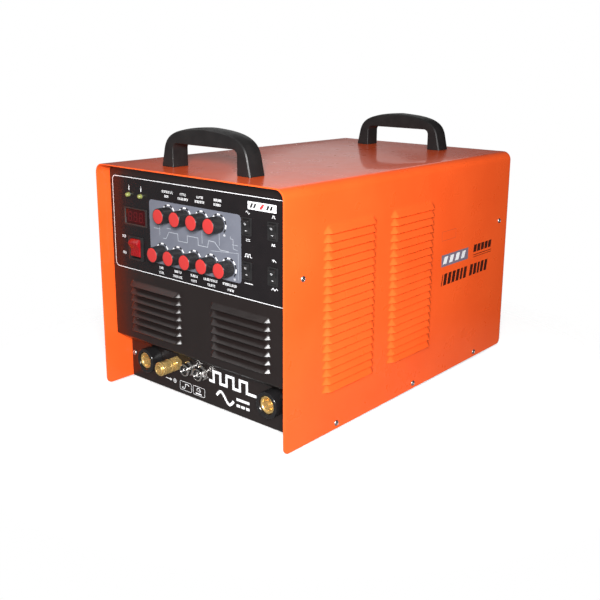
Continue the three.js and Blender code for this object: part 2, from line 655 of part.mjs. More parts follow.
const machine = new THREE.Group();

function add(name, made, material) {
  const mesh = new THREE.Mesh(geometryOf(made), material);
  mesh.name = name;
  machine.add(mesh);
}

add("top_cover", topCover(), orangePaint);
add("base_plate", basePlate(), zincSteel);
add("front_panel", frontPanel(), blackPaint);
add("rear_panel", rearPanel(), blackPaint);
add("front_handle", handle(HANDLE.front[0]), handlePlastic);
add("rear_handle", handle(HANDLE.front[1]), handlePlastic);
for (const [side, x] of [["left", -FEET.x], ["right", FEET.x]]) {
  add(`foot_front_${side}`, foot(x, -FEET.y), rubber);
  add(`foot_rear_${side}`, foot(x, FEET.y), rubber);
}

add("control_overlay", controlOverlay(), greyPrint);
for (const { name, x, z } of KNOBS) {
  add(`${name}_knob`, knob(x, z), blackPlastic);
  add(`${name}_cap`, knobCap(x, z), redPlastic);
}
for (const at of SWITCHES) {
  add(`${at.name}_switch_frame`, switchFrame(at, SWITCH), blackPlastic);
  add(`${at.name}_rocker`, rockerPaddle(at, SWITCH), blackPlastic);
}
add("power_switch_frame", switchFrame(POWER, POWER_SWITCH), blackPlastic);
add("power_rocker", rockerPaddle(POWER, POWER_SWITCH), redLens);
add("display_bezel", displayBezel(), blackPlastic);
add("display_window", displayWindow(), darkLens);
add("power_lamp", lamp(LAMP.x[0]), greenLens);
add("warning_lamp", lamp(LAMP.x[1]), greenLens);

for (const [pole, side] of [["negative", -1], ["positive", 1]]) {
  add(`${pole}_socket_body`, outputBody(side * OUTPUT.x), blackPlastic);
  add(`${pole}_socket_contact`, outputContact(side * OUTPUT.x), brass);
}
add("gas_coupler_body", couplerBody(), brass);
add("gas_coupler_sleeve", couplerSleeve(), brass);
add("torch_trigger_socket", signalSocket(SIGNAL.x[0]), nickel);
add("remote_control_socket", signalSocket(SIGNAL.x[1]), nickel);

add("gas_inlet", gasInlet(), brass);
add("cable_gland", cableGland(), blackPlastic);
add("fan_frame", fanFrame(), blackPlastic);
add("fan_rotor", fanRotor(), blackPlastic);
add("heat_sink", heatSink(), aluminium);
add("inverter_board", inverterBoard(), boardGreen);
add("main_transformer", mainTransformer(), ferrite);
add("control_board", controlBoard(), boardGreen);
add("gas_valve", gasValve(), brass);

export default machine;
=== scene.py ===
import math
import random

import bmesh
import bpy
from mathutils import Matrix, Vector
from mathutils.geometry import tessellate_polygon


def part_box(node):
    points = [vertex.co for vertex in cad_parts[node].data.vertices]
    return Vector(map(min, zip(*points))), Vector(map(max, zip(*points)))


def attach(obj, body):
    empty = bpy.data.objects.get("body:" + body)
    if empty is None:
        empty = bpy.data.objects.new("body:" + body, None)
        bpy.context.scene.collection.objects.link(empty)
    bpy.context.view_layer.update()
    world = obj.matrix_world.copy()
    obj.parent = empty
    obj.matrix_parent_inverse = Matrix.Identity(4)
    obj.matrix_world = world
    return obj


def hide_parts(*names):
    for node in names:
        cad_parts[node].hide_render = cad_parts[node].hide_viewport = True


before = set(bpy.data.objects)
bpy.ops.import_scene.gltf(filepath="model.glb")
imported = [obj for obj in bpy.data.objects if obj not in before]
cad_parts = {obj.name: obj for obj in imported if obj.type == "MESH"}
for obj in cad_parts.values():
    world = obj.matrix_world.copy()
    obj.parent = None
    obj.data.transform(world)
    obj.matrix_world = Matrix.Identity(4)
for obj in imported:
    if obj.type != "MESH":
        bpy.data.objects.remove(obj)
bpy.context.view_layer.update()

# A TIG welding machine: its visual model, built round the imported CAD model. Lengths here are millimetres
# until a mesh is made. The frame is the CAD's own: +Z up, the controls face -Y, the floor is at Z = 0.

MM = 0.001
EPS = 1e-6


def box_mm(node):
    """Lowest and highest corner of a CAD node, in millimetres."""
    low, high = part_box(node)
    return low / MM, high / MM


def centre_mm(node):
    low, high = box_mm(node)
    return (low + high) / 2


# ---------------------------------------------------------------- driving dimensions

COVER_LOW, COVER_HIGH = box_mm("top_cover")
PANEL_HIGH = box_mm("front_panel")[1]
OVERLAY_LOW, OVERLAY_HIGH = box_mm("control_overlay")

FRONT, BACK = COVER_LOW.y, COVER_HIGH.y
BOTTOM, TOP = COVER_LOW.z, COVER_HIGH.z
PANEL_HALF, PANEL_TOP = PANEL_HIGH.x, PANEL_HIGH.z
PANEL_Y = FRONT + 19
SOCKET_Y = FRONT + 42
REAR_Y = BACK - 14
KNEE_TOP = BOTTOM + 67.6
KNEE_BOTTOM = BOTTOM + 53.8
OVERLAY_Y = OVERLAY_LOW.y
# What a fitted piece stands clear of the CAD face behind it.
GAP = 0.3

# Reach is how far from an edge a sheet's lines bend to follow its rounded corners.
COVER = {"half": 160, "sheet": 1.5, "bend": 12, "corner": 8, "reach": 40}
PANEL = {"sheet": 1.4, "corner": COVER["bend"] - COVER["sheet"], "curl": 1.6, "reach": 34}
# A louvre's height, how far it stands out, the slope and the lean of its ends, and how soft its hood is.
SIDE_LOUVRES = {
    "starts": [FRONT + 64.5, FRONT + 192.5], "width": 100, "lowest": BOTTOM + 53, "pitch": 9.81, "count": 20,
    "height": 9.3, "out": 5.9, "slant": 9.7, "lean": 0.85, "round": 0.1, "curve": 1.0,
}
FRONT_LOUVRES = {
    "starts": [-123.25, 25.75], "width": 97.5, "lowest": BOTTOM + 81.6, "pitch": 9.93, "count": 7,
    "height": 6.9, "out": 6.7, "slant": 6.3, "lean": 0.67, "round": 0.25, "curve": 1.2,
}
# Screws, up from the cover's lower edge: back from its front on each side, and across the rear panel.
SIDE_SCREWS = [(30.4, 195.8), (472.8, 196.6), (91.8, 7.5), (255, 7.5), (416.4, 7.5)]
REAR_SCREWS = [(x, z) for x in (-146, 146) for z in (28, 150, 262)]

HANDLE = {"foot": 77, "gap": 54.5, "rise": 29, "height": 50.9, "depth": 25, "crown": 1.6, "edge": 1.3,
          "corner": 7}
KNOB = {"radius": 9.9, "tip": 9.6, "height": 17.6, "cap": 8.7, "flutes": 36}
DIAL = {"outer": 12.5, "inner": 10.8, "sweep": 270, "marks": 11}
DIALS = ["pre_flow", "peak_current", "base_current", "down_slope", "arc_force", "pulse_frequency",
         "pulse_duty", "clean_width", "post_flow"]
PRINT_RISE = 0.05
DISPLAY = {"frame": (44, 23), "opening": (36, 20), "glass_margin": (4.4, 0.4), "digit": (6.0, 11.0),
           "pitch": 10.6}
LAMP = {"radius": 2.8, "wall": 3.6, "out": 6.2}
SWITCHES = {
    "small": {
        "size": (15, 21, 2), "opening": (13.2, 19.4), "housing": (12.6, 18.8), "cavity": (10.6, 17.4),
        "pivot": 1.6, "swing": 12, "colour": "black_plastic",
        "rocker": {"width": 10, "tip": (3.3, 7.7), "middle": 1.8, "side": 8.35, "back": (2.6, 7.9),
                   "valley": 6, "nose": 0.5, "edge": 0.35, "mark": 1.9},
    },
    "large": {
        "size": (28, 31, 2.5), "opening": (23, 27.6), "housing": (22.4, 27), "cavity": (19.2, 25.6),
        "pivot": 2.6, "swing": 13, "colour": "red_lens",
        "rocker": {"width": 18.6, "tip": (6.2, 9), "middle": 3.2, "side": 12.4, "back": (3.4, 11.9),
                   "valley": 9, "nose": 2.0, "edge": 1.0},
    },
}
SWITCH_KINDS = {"output": "small", "trigger": "small", "pulse": "small", "process": "small", "power": "large"}
# The surroundings are in metres and watts, but the radii of the floor's rings are millimetres.
# The room is darkest behind the machine, to its right.
ROOM_LIGHT = (0.03, 0.24)
ROOM_BRIGHT_SIDE = (-0.6, -0.8, 0)
FLOOR_RINGS = (50, 200, 400, 700, 1000, 1400)
FLOOR_FADE = (0.26, 0.50)
FLOOR_GLOW = 0.42
# Each lamp's name, place, aim, size and power, and whether it lights surfaces or is mirrored in them.
LAMPS = [
    ("key", (0.82, -0.98, 0.57), (0.0, -0.1, 0.14), 0.3, 36, True, True),
    ("back", (-1.85, 2.35, 1.5), (0.0, 0.0, 0.3), 1.9, 4.7, False, True),
    ("upper_left", (-0.93, -0.42, 1.25), (0.0, -0.23, 0.13), 0.9, 3.1, False, True),
    ("fill", (-1.5, 1.5, 0.36), (0.0, 0.05, 0.15), 0.8, 16, True, False),
]
CAMERA = {
    "azimuth": 39.65, "elevation": 13.48, "roll": 0.569, "place": (0.71556, -0.86318, 0.43353),
    "sensor": 36, "lens": 49.23, "shift": (-0.0308, -0.0721),
}
# Middle x, middle z and width of each line of the panel's captions.
PANEL_CAPTIONS = [
    (-44.1, 269.2, 21), (-46, 263.8, 8), (-16.5, 269.2, 10.4), (-16.9, 263.8, 18), (12.5, 269.2, 10.6),
    (12.5, 263.8, 17), (42.4, 269.2, 12.8), (42.2, 263.8, 12.8),
    (-59.8, 173.2, 8.2), (-59.8, 167, 10), (-29.5, 173.2, 12.6), (-29.5, 167, 18), (-0.5, 173.2, 12),
    (-0.5, 167, 10), (28.5, 173.2, 25), (29, 167, 13.2), (59.6, 173.2, 22.4), (62, 167, 11),
]
CAD_MATERIALS = {
    "rear_panel": "orange_paint", "base_plate": "zinc_steel", "fan_frame": "black_plastic",
    "fan_rotor": "black_plastic", "heat_sink": "aluminium", "inverter_board": "circuit_board",
    "main_transformer": "ferrite", "control_board": "circuit_board", "gas_valve": "brass",
}

# ---------------------------------------------------------------- geometry


class Shape:
    """Points and faces, in millimetres. The mesh made from them is shared by all its pieces."""

    def __init__(self):
        self.points = []
        self.faces = []
        self.mesh = None

    def add(self, points, faces):
        first = len(self.points)
        self.points.extend(Vector(p) for p in points)
        self.faces.extend(tuple(first + i for i in face) for face in faces)
        return self

    def join(self, other, matrix=None):
        points = [matrix @ p for p in other.points] if matrix else other.points
        return self.add(points, other.faces)

    def loft(self, rings, cap_start=True, cap_end=True):
        """Joins rings of the same number of points, in order."""
        count = len(rings[0])
        last = (len(rings) - 1) * count
        faces = []
        for first in range(0, last, count):
            for i in range(count):
                here, beside = first + i, first + (i + 1) % count
                faces.append((here, beside, beside + count, here + count))
        if cap_start:
            faces.append(tuple(reversed(range(count))))
        if cap_end:
            faces.append(tuple(range(last, last + count)))
        return self.add([p for ring in rings for p in ring], faces)


def facing(right, up, origin):
    """A matrix in millimetres whose local X runs right, local Y up, and local Z out of the face."""
    right, up = Vector(right), Vector(up)
    out = right.cross(up)
    return Matrix((
        (right.x, up.x, out.x, origin[0]),
        (right.y, up.y, out.y, origin[1]),
        (right.z, up.z, out.z, origin[2]),
        (0, 0, 0, 1),
    ))


def on_front(x, z, y):
    """Local axes on a face that looks along -Y."""
    return facing((1, 0, 0), (0, 0, 1), (x, y, z))


def in_front_of(node, y):
    """Local axes on such a face, in line with the middle of a CAD node."""
    middle = centre_mm(node)
    return on_front(middle.x, middle.z, y)


def on_rear(x, z, y):
    return facing((-1, 0, 0), (0, 0, 1), (x, y, z))


def on_right(y, z, x):
    return facing((0, 1, 0), (0, 0, 1), (x, y, z))


def on_left(y, z, x):
    return facing((0, -1, 0), (0, 0, 1), (x, y, z))


def between(start, end, count):
    return [start + (end - start) * i / count for i in range(count + 1)]


def quarter(steps):
    """Evenly spaced angles from zero to a right angle."""
    return between(0, math.pi / 2, steps)


def fillet(points, radius, steps, closed=True):
    """A 2-D outline with its corners rounded. The radius is one number, or one for each corner."""
    count = len(points)
    radii = radius if isinstance(radius, (list, tuple)) else [radius] * count
    made = []
    for i, point in enumerate(points):
        here = Vector(point)
        is_end = not closed and i in (0, count - 1)
        if is_end or radii[i] <= 0:
            made.append(here)
            continue
        back = (Vector(points[i - 1]) - here).normalized()
        ahead = (Vector(points[(i + 1) % count]) - here).normalized()
        half = back.angle(ahead) / 2
        if half > math.pi / 2 - 0.01:
            made.append(here)
            continue
        reach = radii[i] / math.tan(half)
        centre = here + (back + ahead).normalized() * (radii[i] / math.sin(half))
        start = here + back * reach - centre
        turn = start.angle_signed(here + ahead * reach - centre)
        for angle in between(0, -turn, steps):
            made.append(centre + Matrix.Rotation(angle, 2) @ start)
    return made


def rectangle(width, height, radius, steps, x=0.0, y=0.0):
    w, h = width / 2, height / 2
    corners = [(x - w, y - h), (x + w, y - h), (x + w, y + h), (x - w, y + h)]
    return fillet(corners, radius, steps) if radius else [Vector(c) for c in corners]


def circle(radius, segments, x=0.0, y=0.0):
    angles = between(0, 2 * math.pi, segments)[:-1]
    return [Vector((x + radius * math.cos(a), y + radius * math.sin(a))) for a in angles]


def signed_area(loop):
    return sum(a.x * b.y - b.x * a.y for a, b in zip(loop, loop[1:] + loop[:1])) / 2


def mitre(before, after, least):
    """The step from a corner that moves both its sides left by one, kept short at a sharp corner."""
    before, after = before.normalized(), after.normalized()
    first, second = Vector((-before.y, before.x)), Vector((-after.y, after.x))
    middle = (first + second).normalized()
    return middle / max(middle.dot(first), least)


def inset(loop, distance):
    """A counter-clockwise outline moved inwards by a distance."""
    made = []
    for i, here in enumerate(loop):
        made.append(here + mitre(here - loop[i - 1], loop[(i + 1) % len(loop)] - here, 0.3) * distance)
    return made


def level(loop, z):
    return [Vector((p.x, p.y, z)) for p in loop]


def slab(outline, low, high, bevel, steps=3, low_bevel=0.0):
    """A solid from an outline, with its top edge, and its bottom edge if asked, rounded over."""
    rings = [level(outline, low)]
    if low_bevel:
        rings = [level(inset(outline, low_bevel * (1 - math.sin(a))), low + low_bevel * (1 - math.cos(a)))
                 for a in quarter(steps)]
    for a in quarter(steps):
        rings.append(level(inset(outline, bevel * (1 - math.cos(a))), high - bevel * (1 - math.sin(a))))
    return Shape().loft(rings)


def plate(outline, holes, low, high):
    """A flat solid with holes."""
    loops = [outline if signed_area(outline) > 0 else outline[::-1]]
    loops += [hole if signed_area(hole) < 0 else hole[::-1] for hole in holes]
    flat = [[Vector((p.x, p.y, 0)) for p in loop] for loop in loops]
    triangles = tessellate_polygon(flat)
    points = [p for loop in loops for p in loop]
    count = len(points)
    shape = Shape()
    faces = []
    for a, b, c in triangles:
        turn = (points[b] - points[a]).cross(points[c] - points[a])
        if turn < 0:
            b, c = c, b
        faces.append((a + count, b + count, c + count))
        faces.append((a, c, b))
    first = 0
    for loop in loops:
        for i in range(len(loop)):
            j = (i + 1) % len(loop)
            faces.append((first + i, first + j, first + j + count, first + i + count))
        first += len(loop)
    return shape.add(level(points, low) + level(points, high), faces)


def lathe(profile, segments, radius_at=None):
    """A solid turned about local Z from (radius, height) points, low end first."""
    shape = Shape()
    rows = []
    for radius, height in profile:
        first = len(shape.points)
        if radius < EPS:
            shape.points.append(Vector((0, 0, height)))
            rows.append([first] * segments)
            continue
        for i in range(segments):
            angle = 2 * math.pi * i / segments
            r = radius_at(angle, radius, height) if radius_at else radius
            shape.points.append(Vector((r * math.cos(angle), r * math.sin(angle), height)))
        rows.append(list(range(first, first + segments)))
    for low, high in zip(rows, rows[1:]):
        for i in range(segments):
            j = (i + 1) % segments
            face = []
            for index in (low[i], low[j], high[j], high[i]):
                if index not in face:
                    face.append(index)
            if len(face) > 2:
                shape.faces.append(tuple(face))
    return shape


def turned(profile, radius, segments, steps=3, radius_at=None):
    """A lathe solid whose profile corners are rounded."""
    return lathe(fillet(profile, radius, steps, closed=False), segments, radius_at)


def dome(radius, base, rise, steps):
    """Profile points from a rim up towards the middle, without either end."""
    return [(radius * math.cos(a), base + rise * math.sin(a)) for a in quarter(steps)[1:-1]]


def stroke(points, width, closed=False):
    """The outline of a line of one width through 2-D points, as one or two loops."""
    points = [Vector(p) for p in points]
    steps = []
    for i, here in enumerate(points):
        before = here - points[i - 1] if closed or i > 0 else points[1] - here
        after = points[(i + 1) % len(points)] - here if closed or i < len(points) - 1 else before
        steps.append(mitre(before, after, 0.5) * width / 2)
    left = [p + step for p, step in zip(points, steps)]
    right = [p - step for p, step in zip(points, steps)]
    return [left, right] if closed else [left + right[::-1]]


def arc(radius, start, end, steps, x=0.0, y=0.0):
    """Points on an arc, with its angles in degrees."""
    angles = [math.radians(a) for a in between(start, end, steps)]
    return [Vector((x + radius * math.cos(a), y + radius * math.sin(a))) for a in angles]


def add_object(name, data):
    made = bpy.data.objects.new(name, data)
    bpy.context.scene.collection.objects.link(made)
    return made


def add_mesh(name, shape, material):
    mesh = bpy.data.meshes.new(name)
    mesh.from_pydata([p * MM for p in shape.points], [], shape.faces)
    mesh.materials.append(material)
    return add_object(name, mesh)


def build(name, shape, material, place=None, replaces=(), body="housing", smooth=32,
          weld=True, solidify=0.0, edge_bevel=0.0, bevel_where=None):
    """Makes a piece from a shape, puts it in place and says which CAD body it moves with.

    The material is named. A shape that was built before gives the same mesh again.
    """
    if shape.mesh:
        piece = add_object(name, shape.mesh)
    else:
        piece = add_mesh(name, shape, MATERIALS[material])
        if weld:
            weld_mesh(piece.data, not solidify)
        if solidify:
            thicken(piece, solidify)
        if edge_bevel:
            bevel_edges(piece.data, edge_bevel, bevel_where)
        shade(piece.data, smooth)
        shape.mesh = piece.data
    if place is not None:
        moved = place.copy()
        moved.translation = place.translation * MM
        piece.matrix_world = moved
    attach(piece, body)
    if replaces:
        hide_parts(*replaces)
    return piece


def weld_mesh(mesh, recalculate, distance=0.002):
    """Merges the points that lie together, and faces the normals of a closed mesh outwards."""
    work = bmesh.new()
    work.from_mesh(mesh)
    bmesh.ops.remove_doubles(work, verts=work.verts, dist=distance * MM)
    bmesh.ops.dissolve_degenerate(work, edges=work.edges, dist=distance * MM / 2)
    if recalculate:
        bmesh.ops.recalc_face_normals(work, faces=work.faces)
    work.to_mesh(mesh)
    work.free()


def thicken(piece, thickness):
    """Gives a sheet its thickness, behind the face that was drawn."""
    modifier = piece.modifiers.new("sheet", "SOLIDIFY")
    modifier.thickness = thickness * MM
    modifier.offset = -1
    modifier.use_even_offset = True
    graph = bpy.context.evaluated_depsgraph_get()
    made = bpy.data.meshes.new_from_object(piece.evaluated_get(graph))
    old = piece.data
    piece.modifiers.clear()
    piece.data = made
    made.name = piece.name
    bpy.data.meshes.remove(old)


def bevel_edges(mesh, width, where, segments=2, sharper_than=50):
    """Rounds the sharp edges that where() picks by their middle point, in millimetres."""
    work = bmesh.new()
    work.from_mesh(mesh)
    limit = math.radians(sharper_than)
    chosen = []
    for edge in work.edges:
        middle = (edge.verts[0].co + edge.verts[1].co) / 2 / MM
        if len(edge.link_faces) == 2 and edge.calc_face_angle(0) >= limit and where(middle):
            chosen.append(edge)
    bmesh.ops.bevel(work, geom=chosen, offset=width * MM, segments=segments, profile=0.5, affect="EDGES",
                    clamp_overlap=True)
    work.to_mesh(mesh)
    work.free()


def shade(mesh, angle):
    mesh.shade_smooth()
    mesh.set_sharp_from_angle(angle=math.radians(angle))


# ---------------------------------------------------------------- materials


def add_node(tree, kind, settings=None, **inputs):
    """A new shader node, with its settings and with a value or a link for each input that is named."""
    node = tree.nodes.new("ShaderNode" + kind)
    for name, value in (settings or {}).items():
        setattr(node, name, value)
    for name, value in inputs.items():
        socket = node.inputs[name.replace("_", " ")]
        if isinstance(value, bpy.types.NodeSocket):
            tree.links.new(value, socket)
        else:
            socket.default_value = value
    return node


class Surface:
    """A procedural material: one Principled shader, and the nodes behind its sockets."""

    def __init__(self, name, **fixed):
        self.material = bpy.data.materials.new(name)
        self.material.use_nodes = True
        self.tree = self.material.node_tree
        self.shader = self.tree.nodes["Principled BSDF"]
        self.place = self.node("TexCoord").outputs["Object"]
        for socket, value in fixed.items():
            self.shader.inputs[socket.replace("_", " ")].default_value = value

    def node(self, kind, settings=None, **inputs):
        return add_node(self.tree, kind, settings, **inputs)

    def noise(self, scale, detail, stretch=None):
        """Noise in the object's own coordinates. Stretch squeezes them along some axes, as brushing does."""
        where = self.place
        if stretch:
            where = self.node("Mapping", Vector=where, Scale=stretch).outputs["Vector"]
        return self.node("TexNoise", Vector=where, Scale=scale, Detail=detail).outputs["Fac"]

    def blend(self, factor, first, second):
        """Two colours, with a soft change half way."""
        node = self.node("ValToRGB", Fac=factor)
        for element, position, colour in zip(node.color_ramp.elements, (0.35, 0.65), (first, second)):
            element.position = position
            element.color = (*colour, 1)
        return node.outputs["Color"]

    def spread(self, factor, low, high, start=0.3, end=0.7):
        node = self.node("MapRange", Value=factor, From_Min=start, From_Max=end, To_Min=low, To_Max=high)
        return node.outputs["Result"]

    def link(self, output, socket):
        self.tree.links.new(output, self.shader.inputs[socket])

    def finish(self, colours, roughness, depth, mottle, gloss, grain, stretch=None):
        """Mottled colour, uneven gloss and fine relief, each from a noise given as (scale, detail)."""
        self.link(self.blend(self.noise(*mottle, stretch), *colours), "Base Color")
        self.link(self.spread(self.noise(*gloss, stretch), *roughness), "Roughness")
        relief = self.node("Bump", Height=self.noise(*grain, stretch), Distance=depth * MM, Strength=1.0)
        self.link(relief.outputs["Normal"], "Normal")
        return self.material


def paint(name, first, second, roughness, peel, coat, specular):
    """Powder coat: fine orange peel, slight colour drift and a few duller patches."""
    made = Surface(name, Specular_IOR_Level=specular, Coat_Weight=coat, Coat_Roughness=0.06)
    return made.finish((first, second), roughness, peel, (14, 4), (35, 5), (620, 2))


def moulded(name, first, second, roughness, grain, scale=2200, specular=0.5):
    """Moulded plastic with a fine spark-eroded grain."""
    made = Surface(name, Specular_IOR_Level=specular)
    return made.finish((first, second), roughness, grain, (60, 5), (160, 4), (scale, 3))


def printed(name, first, second, roughness, specular=0.5):
    """Ink and printed film."""
    return moulded(name, first, second, roughness, 0.002, 1400, specular)


def metal(name, first, second, roughness, grain, metallic=1.0, stretch=None):
    """Machined or plated metal, with its tool marks along one direction if it is stretched."""
    made = Surface(name, Metallic=metallic)
    return made.finish((first, second), roughness, grain, (180, 4), (260, 4), (1500, 2), stretch)


def lens(name, first, second, roughness, coat, specular=0.5):
    made = Surface(name, Specular_IOR_Level=specular, Coat_Weight=coat, Coat_Roughness=0.04)
    return made.finish((first, second), roughness, 0.004, (300, 2), (400, 3), (900, 1))


# Each material's two colours and range of roughness, and then what its own maker asks for.
RECIPES = {
    paint: {
        "orange_paint": ((0.90, 0.108, 0.018), (0.86, 0.096, 0.015), (0.26, 0.34), 0.0005, 0.4, 0.25),
        "black_paint": ((0.0088, 0.0054, 0.005), (0.0104, 0.0064, 0.006), (0.34, 0.42), 0.002, 0.0, 0.55),
    },
    moulded: {
        "handle_plastic": ((0.0105, 0.0098, 0.01), (0.0145, 0.0135, 0.0135), (0.36, 0.46), 0.01, 2200, 0.22),
        "foot_rubber": ((0.013, 0.013, 0.013), (0.02, 0.02, 0.019), (0.75, 0.88), 0.04, 900),
        "black_plastic": ((0.0105, 0.01, 0.0105), (0.015, 0.014, 0.0145), (0.3, 0.4), 0.008),
        "red_plastic": ((0.46, 0.03, 0.028), (0.43, 0.027, 0.025), (0.45, 0.52), 0.006),
        "socket_plastic": ((0.008, 0.0075, 0.008), (0.011, 0.0105, 0.011), (0.14, 0.22), 0.003),
        "display_frame": ((0.017, 0.014, 0.0135), (0.022, 0.018, 0.0175), (0.3, 0.4), 0.01),
        "circuit_board": ((0.012, 0.085, 0.03), (0.02, 0.12, 0.045), (0.3, 0.45), 0.02),
        "ferrite": ((0.05, 0.045, 0.038), (0.07, 0.062, 0.052), (0.6, 0.75), 0.05, 700),
    },
    printed: {
        "printed_sheet": ((0.0075, 0.006, 0.0068), (0.0092, 0.0072, 0.008), (0.24, 0.3), 0.35),
        "white_print": ((0.74, 0.74, 0.76), (0.82, 0.82, 0.83), (0.35, 0.45)),
        "grey_print": ((0.125, 0.132, 0.162), (0.138, 0.145, 0.176), (0.3, 0.4), 0.4),
        "line_print": ((0.4, 0.42, 0.46), (0.46, 0.48, 0.52), (0.35, 0.45)),
        "black_print": ((0.008, 0.007, 0.0075), (0.011, 0.01, 0.0105), (0.3, 0.4)),
        "red_print": ((0.55, 0.03, 0.03), (0.6, 0.035, 0.035), (0.35, 0.45)),
        "side_black": ((0.04, 0.008, 0.005), (0.05, 0.01, 0.006), (0.45, 0.55), 0.25),
        "side_blue": ((0.17, 0.14, 0.19), (0.2, 0.16, 0.21), (0.35, 0.45)),
        "side_red": ((0.42, 0.06, 0.03), (0.46, 0.07, 0.04), (0.35, 0.45)),
    },
    metal: {
        "zinc_steel": ((0.42, 0.43, 0.44), (0.5, 0.5, 0.5), (0.3, 0.42), 0.004),
        "brass": ((0.58, 0.39, 0.14), (0.66, 0.45, 0.17), (0.22, 0.34), 0.004, 0.7),
        "nickel": ((0.68, 0.66, 0.64), (0.76, 0.74, 0.72), (0.12, 0.2), 0.003),
        "aluminium": ((0.5, 0.51, 0.52), (0.58, 0.59, 0.6), (0.32, 0.45), 0.008, 1.0, (1, 0.04, 1)),
        "plate_metal": ((0.55, 0.56, 0.57), (0.63, 0.64, 0.65), (0.3, 0.42), 0.004, 0.35, (1, 1, 0.05)),
    },
    lens: {
        "red_lens": ((0.27, 0.0045, 0.007), (0.23, 0.004, 0.006), (0.24, 0.32), 0.1, 0.35),
        "display_lens": ((0.03, 0.0015, 0.002), (0.038, 0.002, 0.0025), (0.1, 0.14), 0.0, 0.25),
        "lamp_lens": ((0.19, 0.21, 0.06), (0.235, 0.255, 0.075), (0.25, 0.35), 0.15),
        "segment": ((0.085, 0.006, 0.008), (0.1, 0.008, 0.01), (0.2, 0.3), 0.0, 0.25),
    },
}
MATERIALS = {name: maker(name, *recipe) for maker, table in RECIPES.items() for name, recipe in table.items()}


# ---------------------------------------------------------------- louvred sheets


def smooth_min(a, b, width):
    """The smaller of two numbers, rounded over where they cross."""
    edge = max(width - abs(a - b), 0) / width
    return min(a, b) - edge * edge * width / 4


def hood(louvres, rise, along):
    """How far a louvre stands out, from 0 to 1. Rise is 0 at its lip and 1 where it meets the sheet."""
    slope = (1 - rise) ** louvres["curve"]
    ease = 0.12
    face = slope * slope / 2 / ease if slope < ease else slope - ease / 2
    end = min(along, louvres["width"] - along) / louvres["slant"] - louvres["lean"] * rise
    return max(0.0, smooth_min(face / (1 - ease / 2), end, louvres["round"]))


def louvre_columns(louvres, ramp_steps=9):
    """Lines across the louvres, close together where their ends slope."""
    lines = []
    for start in louvres["starts"]:
        reach = louvres["slant"] * 1.5
        for step in between(0, reach, ramp_steps):
            lines += [start + step, start + louvres["width"] - step]
        lines.append(start + louvres["width"] / 2)
        for margin in (0.7, 2.0):
            lines += [start - margin, start + louvres["width"] + margin]
    return lines


def louvre_rows(louvres, steps=7):
    """(height, rise) for each line of a bank. Rise is None on the flat sheet, and a lip has two lines."""
    rows = []
    for i in range(louvres["count"]):
        lip = louvres["lowest"] + i * louvres["pitch"]
        rows.append((lip, None))
        rows += [(lip + louvres["height"] * rise, rise) for rise in between(0, 1, steps)]
    return rows


def louvre_height(louvres, along, rise):
    if rise is None:
        return 0.0
    for start in louvres["starts"]:
        if start < along < start + louvres["width"]:
            return louvres["out"] * hood(louvres, rise, along - start)
    return 0.0


def lattice(rows, columns, point_at, skip=None):
    """A sheet of quads. Two rows at one height stay unjoined, which leaves the slit under a louvre."""
    points = [point_at(row, column) for row in rows for column in columns]
    wide = len(columns)
    faces = []
    for i in range(len(rows) - 1):
        if rows[i][0] == rows[i + 1][0]:
            continue
        for j in range(wide - 1):
            if skip and skip(rows[i], rows[i + 1], columns[j], columns[j + 1]):
                continue
            corner = i * wide + j
            faces.append((corner, corner + 1, corner + wide + 1, corner + wide))
    return Shape().add(points, faces)


def sorted_lines(values, apart=0.05):
    """Values in order, without repeats."""
    made = []
    for value in sorted(values):
        if not made or value - made[-1] > apart:
            made.append(value)
    return made


def corner_pull(distance, radius):
    """How far an edge is drawn in by a rounded corner, at a distance from the corner's other side."""
    if distance >= radius:
        return 0.0
    return radius - math.sqrt(max(radius ** 2 - (radius - distance) ** 2, 0))


def cover_rows():
    """Lines along the cover: (length round the section, rise, x, z, normal x, normal z)."""
    half, bend = COVER["half"], COVER["bend"]
    corner = [BOTTOM + COVER["corner"] * (1 - math.cos(a)) for a in quarter(6)]
    wall = [(z, None) for z in corner + between(BOTTOM + 14, SIDE_LOUVRES["lowest"] - 6, 3)]
    wall += louvre_rows(SIDE_LOUVRES)
    wall += [(z, None) for z in between(wall[-1][0] + 3, TOP - bend, 4)]
    side = [(z, rise, half, z, 1.0, 0.0) for z, rise in wall]
    for a in quarter(8)[1:]:
        x, z = half - bend + bend * math.cos(a), TOP - bend + bend * math.sin(a)
        side.append((TOP - bend + bend * a, None, x, z, math.cos(a), math.sin(a)))
    top = side[-1][0]
    across = [(top + 1 + k, None, x, TOP, 0.0, 1.0) for k, x in enumerate(between(120, -120, 12))]
    other = [(-s, rise, -x, z, -nx, nz) for s, rise, x, z, nx, nz in reversed(side)]
    return side + across + other


def cover_point(row, y):
    _, rise, x, z, nx, nz = row
    out = louvre_height(SIDE_LOUVRES, y, rise)
    pull = corner_pull(z - BOTTOM, COVER["corner"]) if abs(nz) < EPS else 0.0
    for end, sign in ((FRONT, 1), (BACK, -1)):
        depth = (y - end) * sign
        if depth < COVER["reach"]:
            y += sign * pull * (1 - depth / COVER["reach"])
    return Vector((x + nx * out, y, z + nz * out))


def build_cover():
    columns = louvre_columns(SIDE_LOUVRES) + between(FRONT, BACK, 12) + [FRONT + 2, BACK - 2]
    sheet = lattice(cover_rows(), sorted_lines(columns, 0.4), cover_point)

    def on_rim(p):
        return p.y < FRONT + 8.5 or p.y > BACK - 8.5 or p.z < BOTTOM + 1

    build("cover", sheet, "orange_paint", replaces=["top_cover"], solidify=COVER["sheet"], edge_bevel=0.4,
          bevel_where=on_rim)


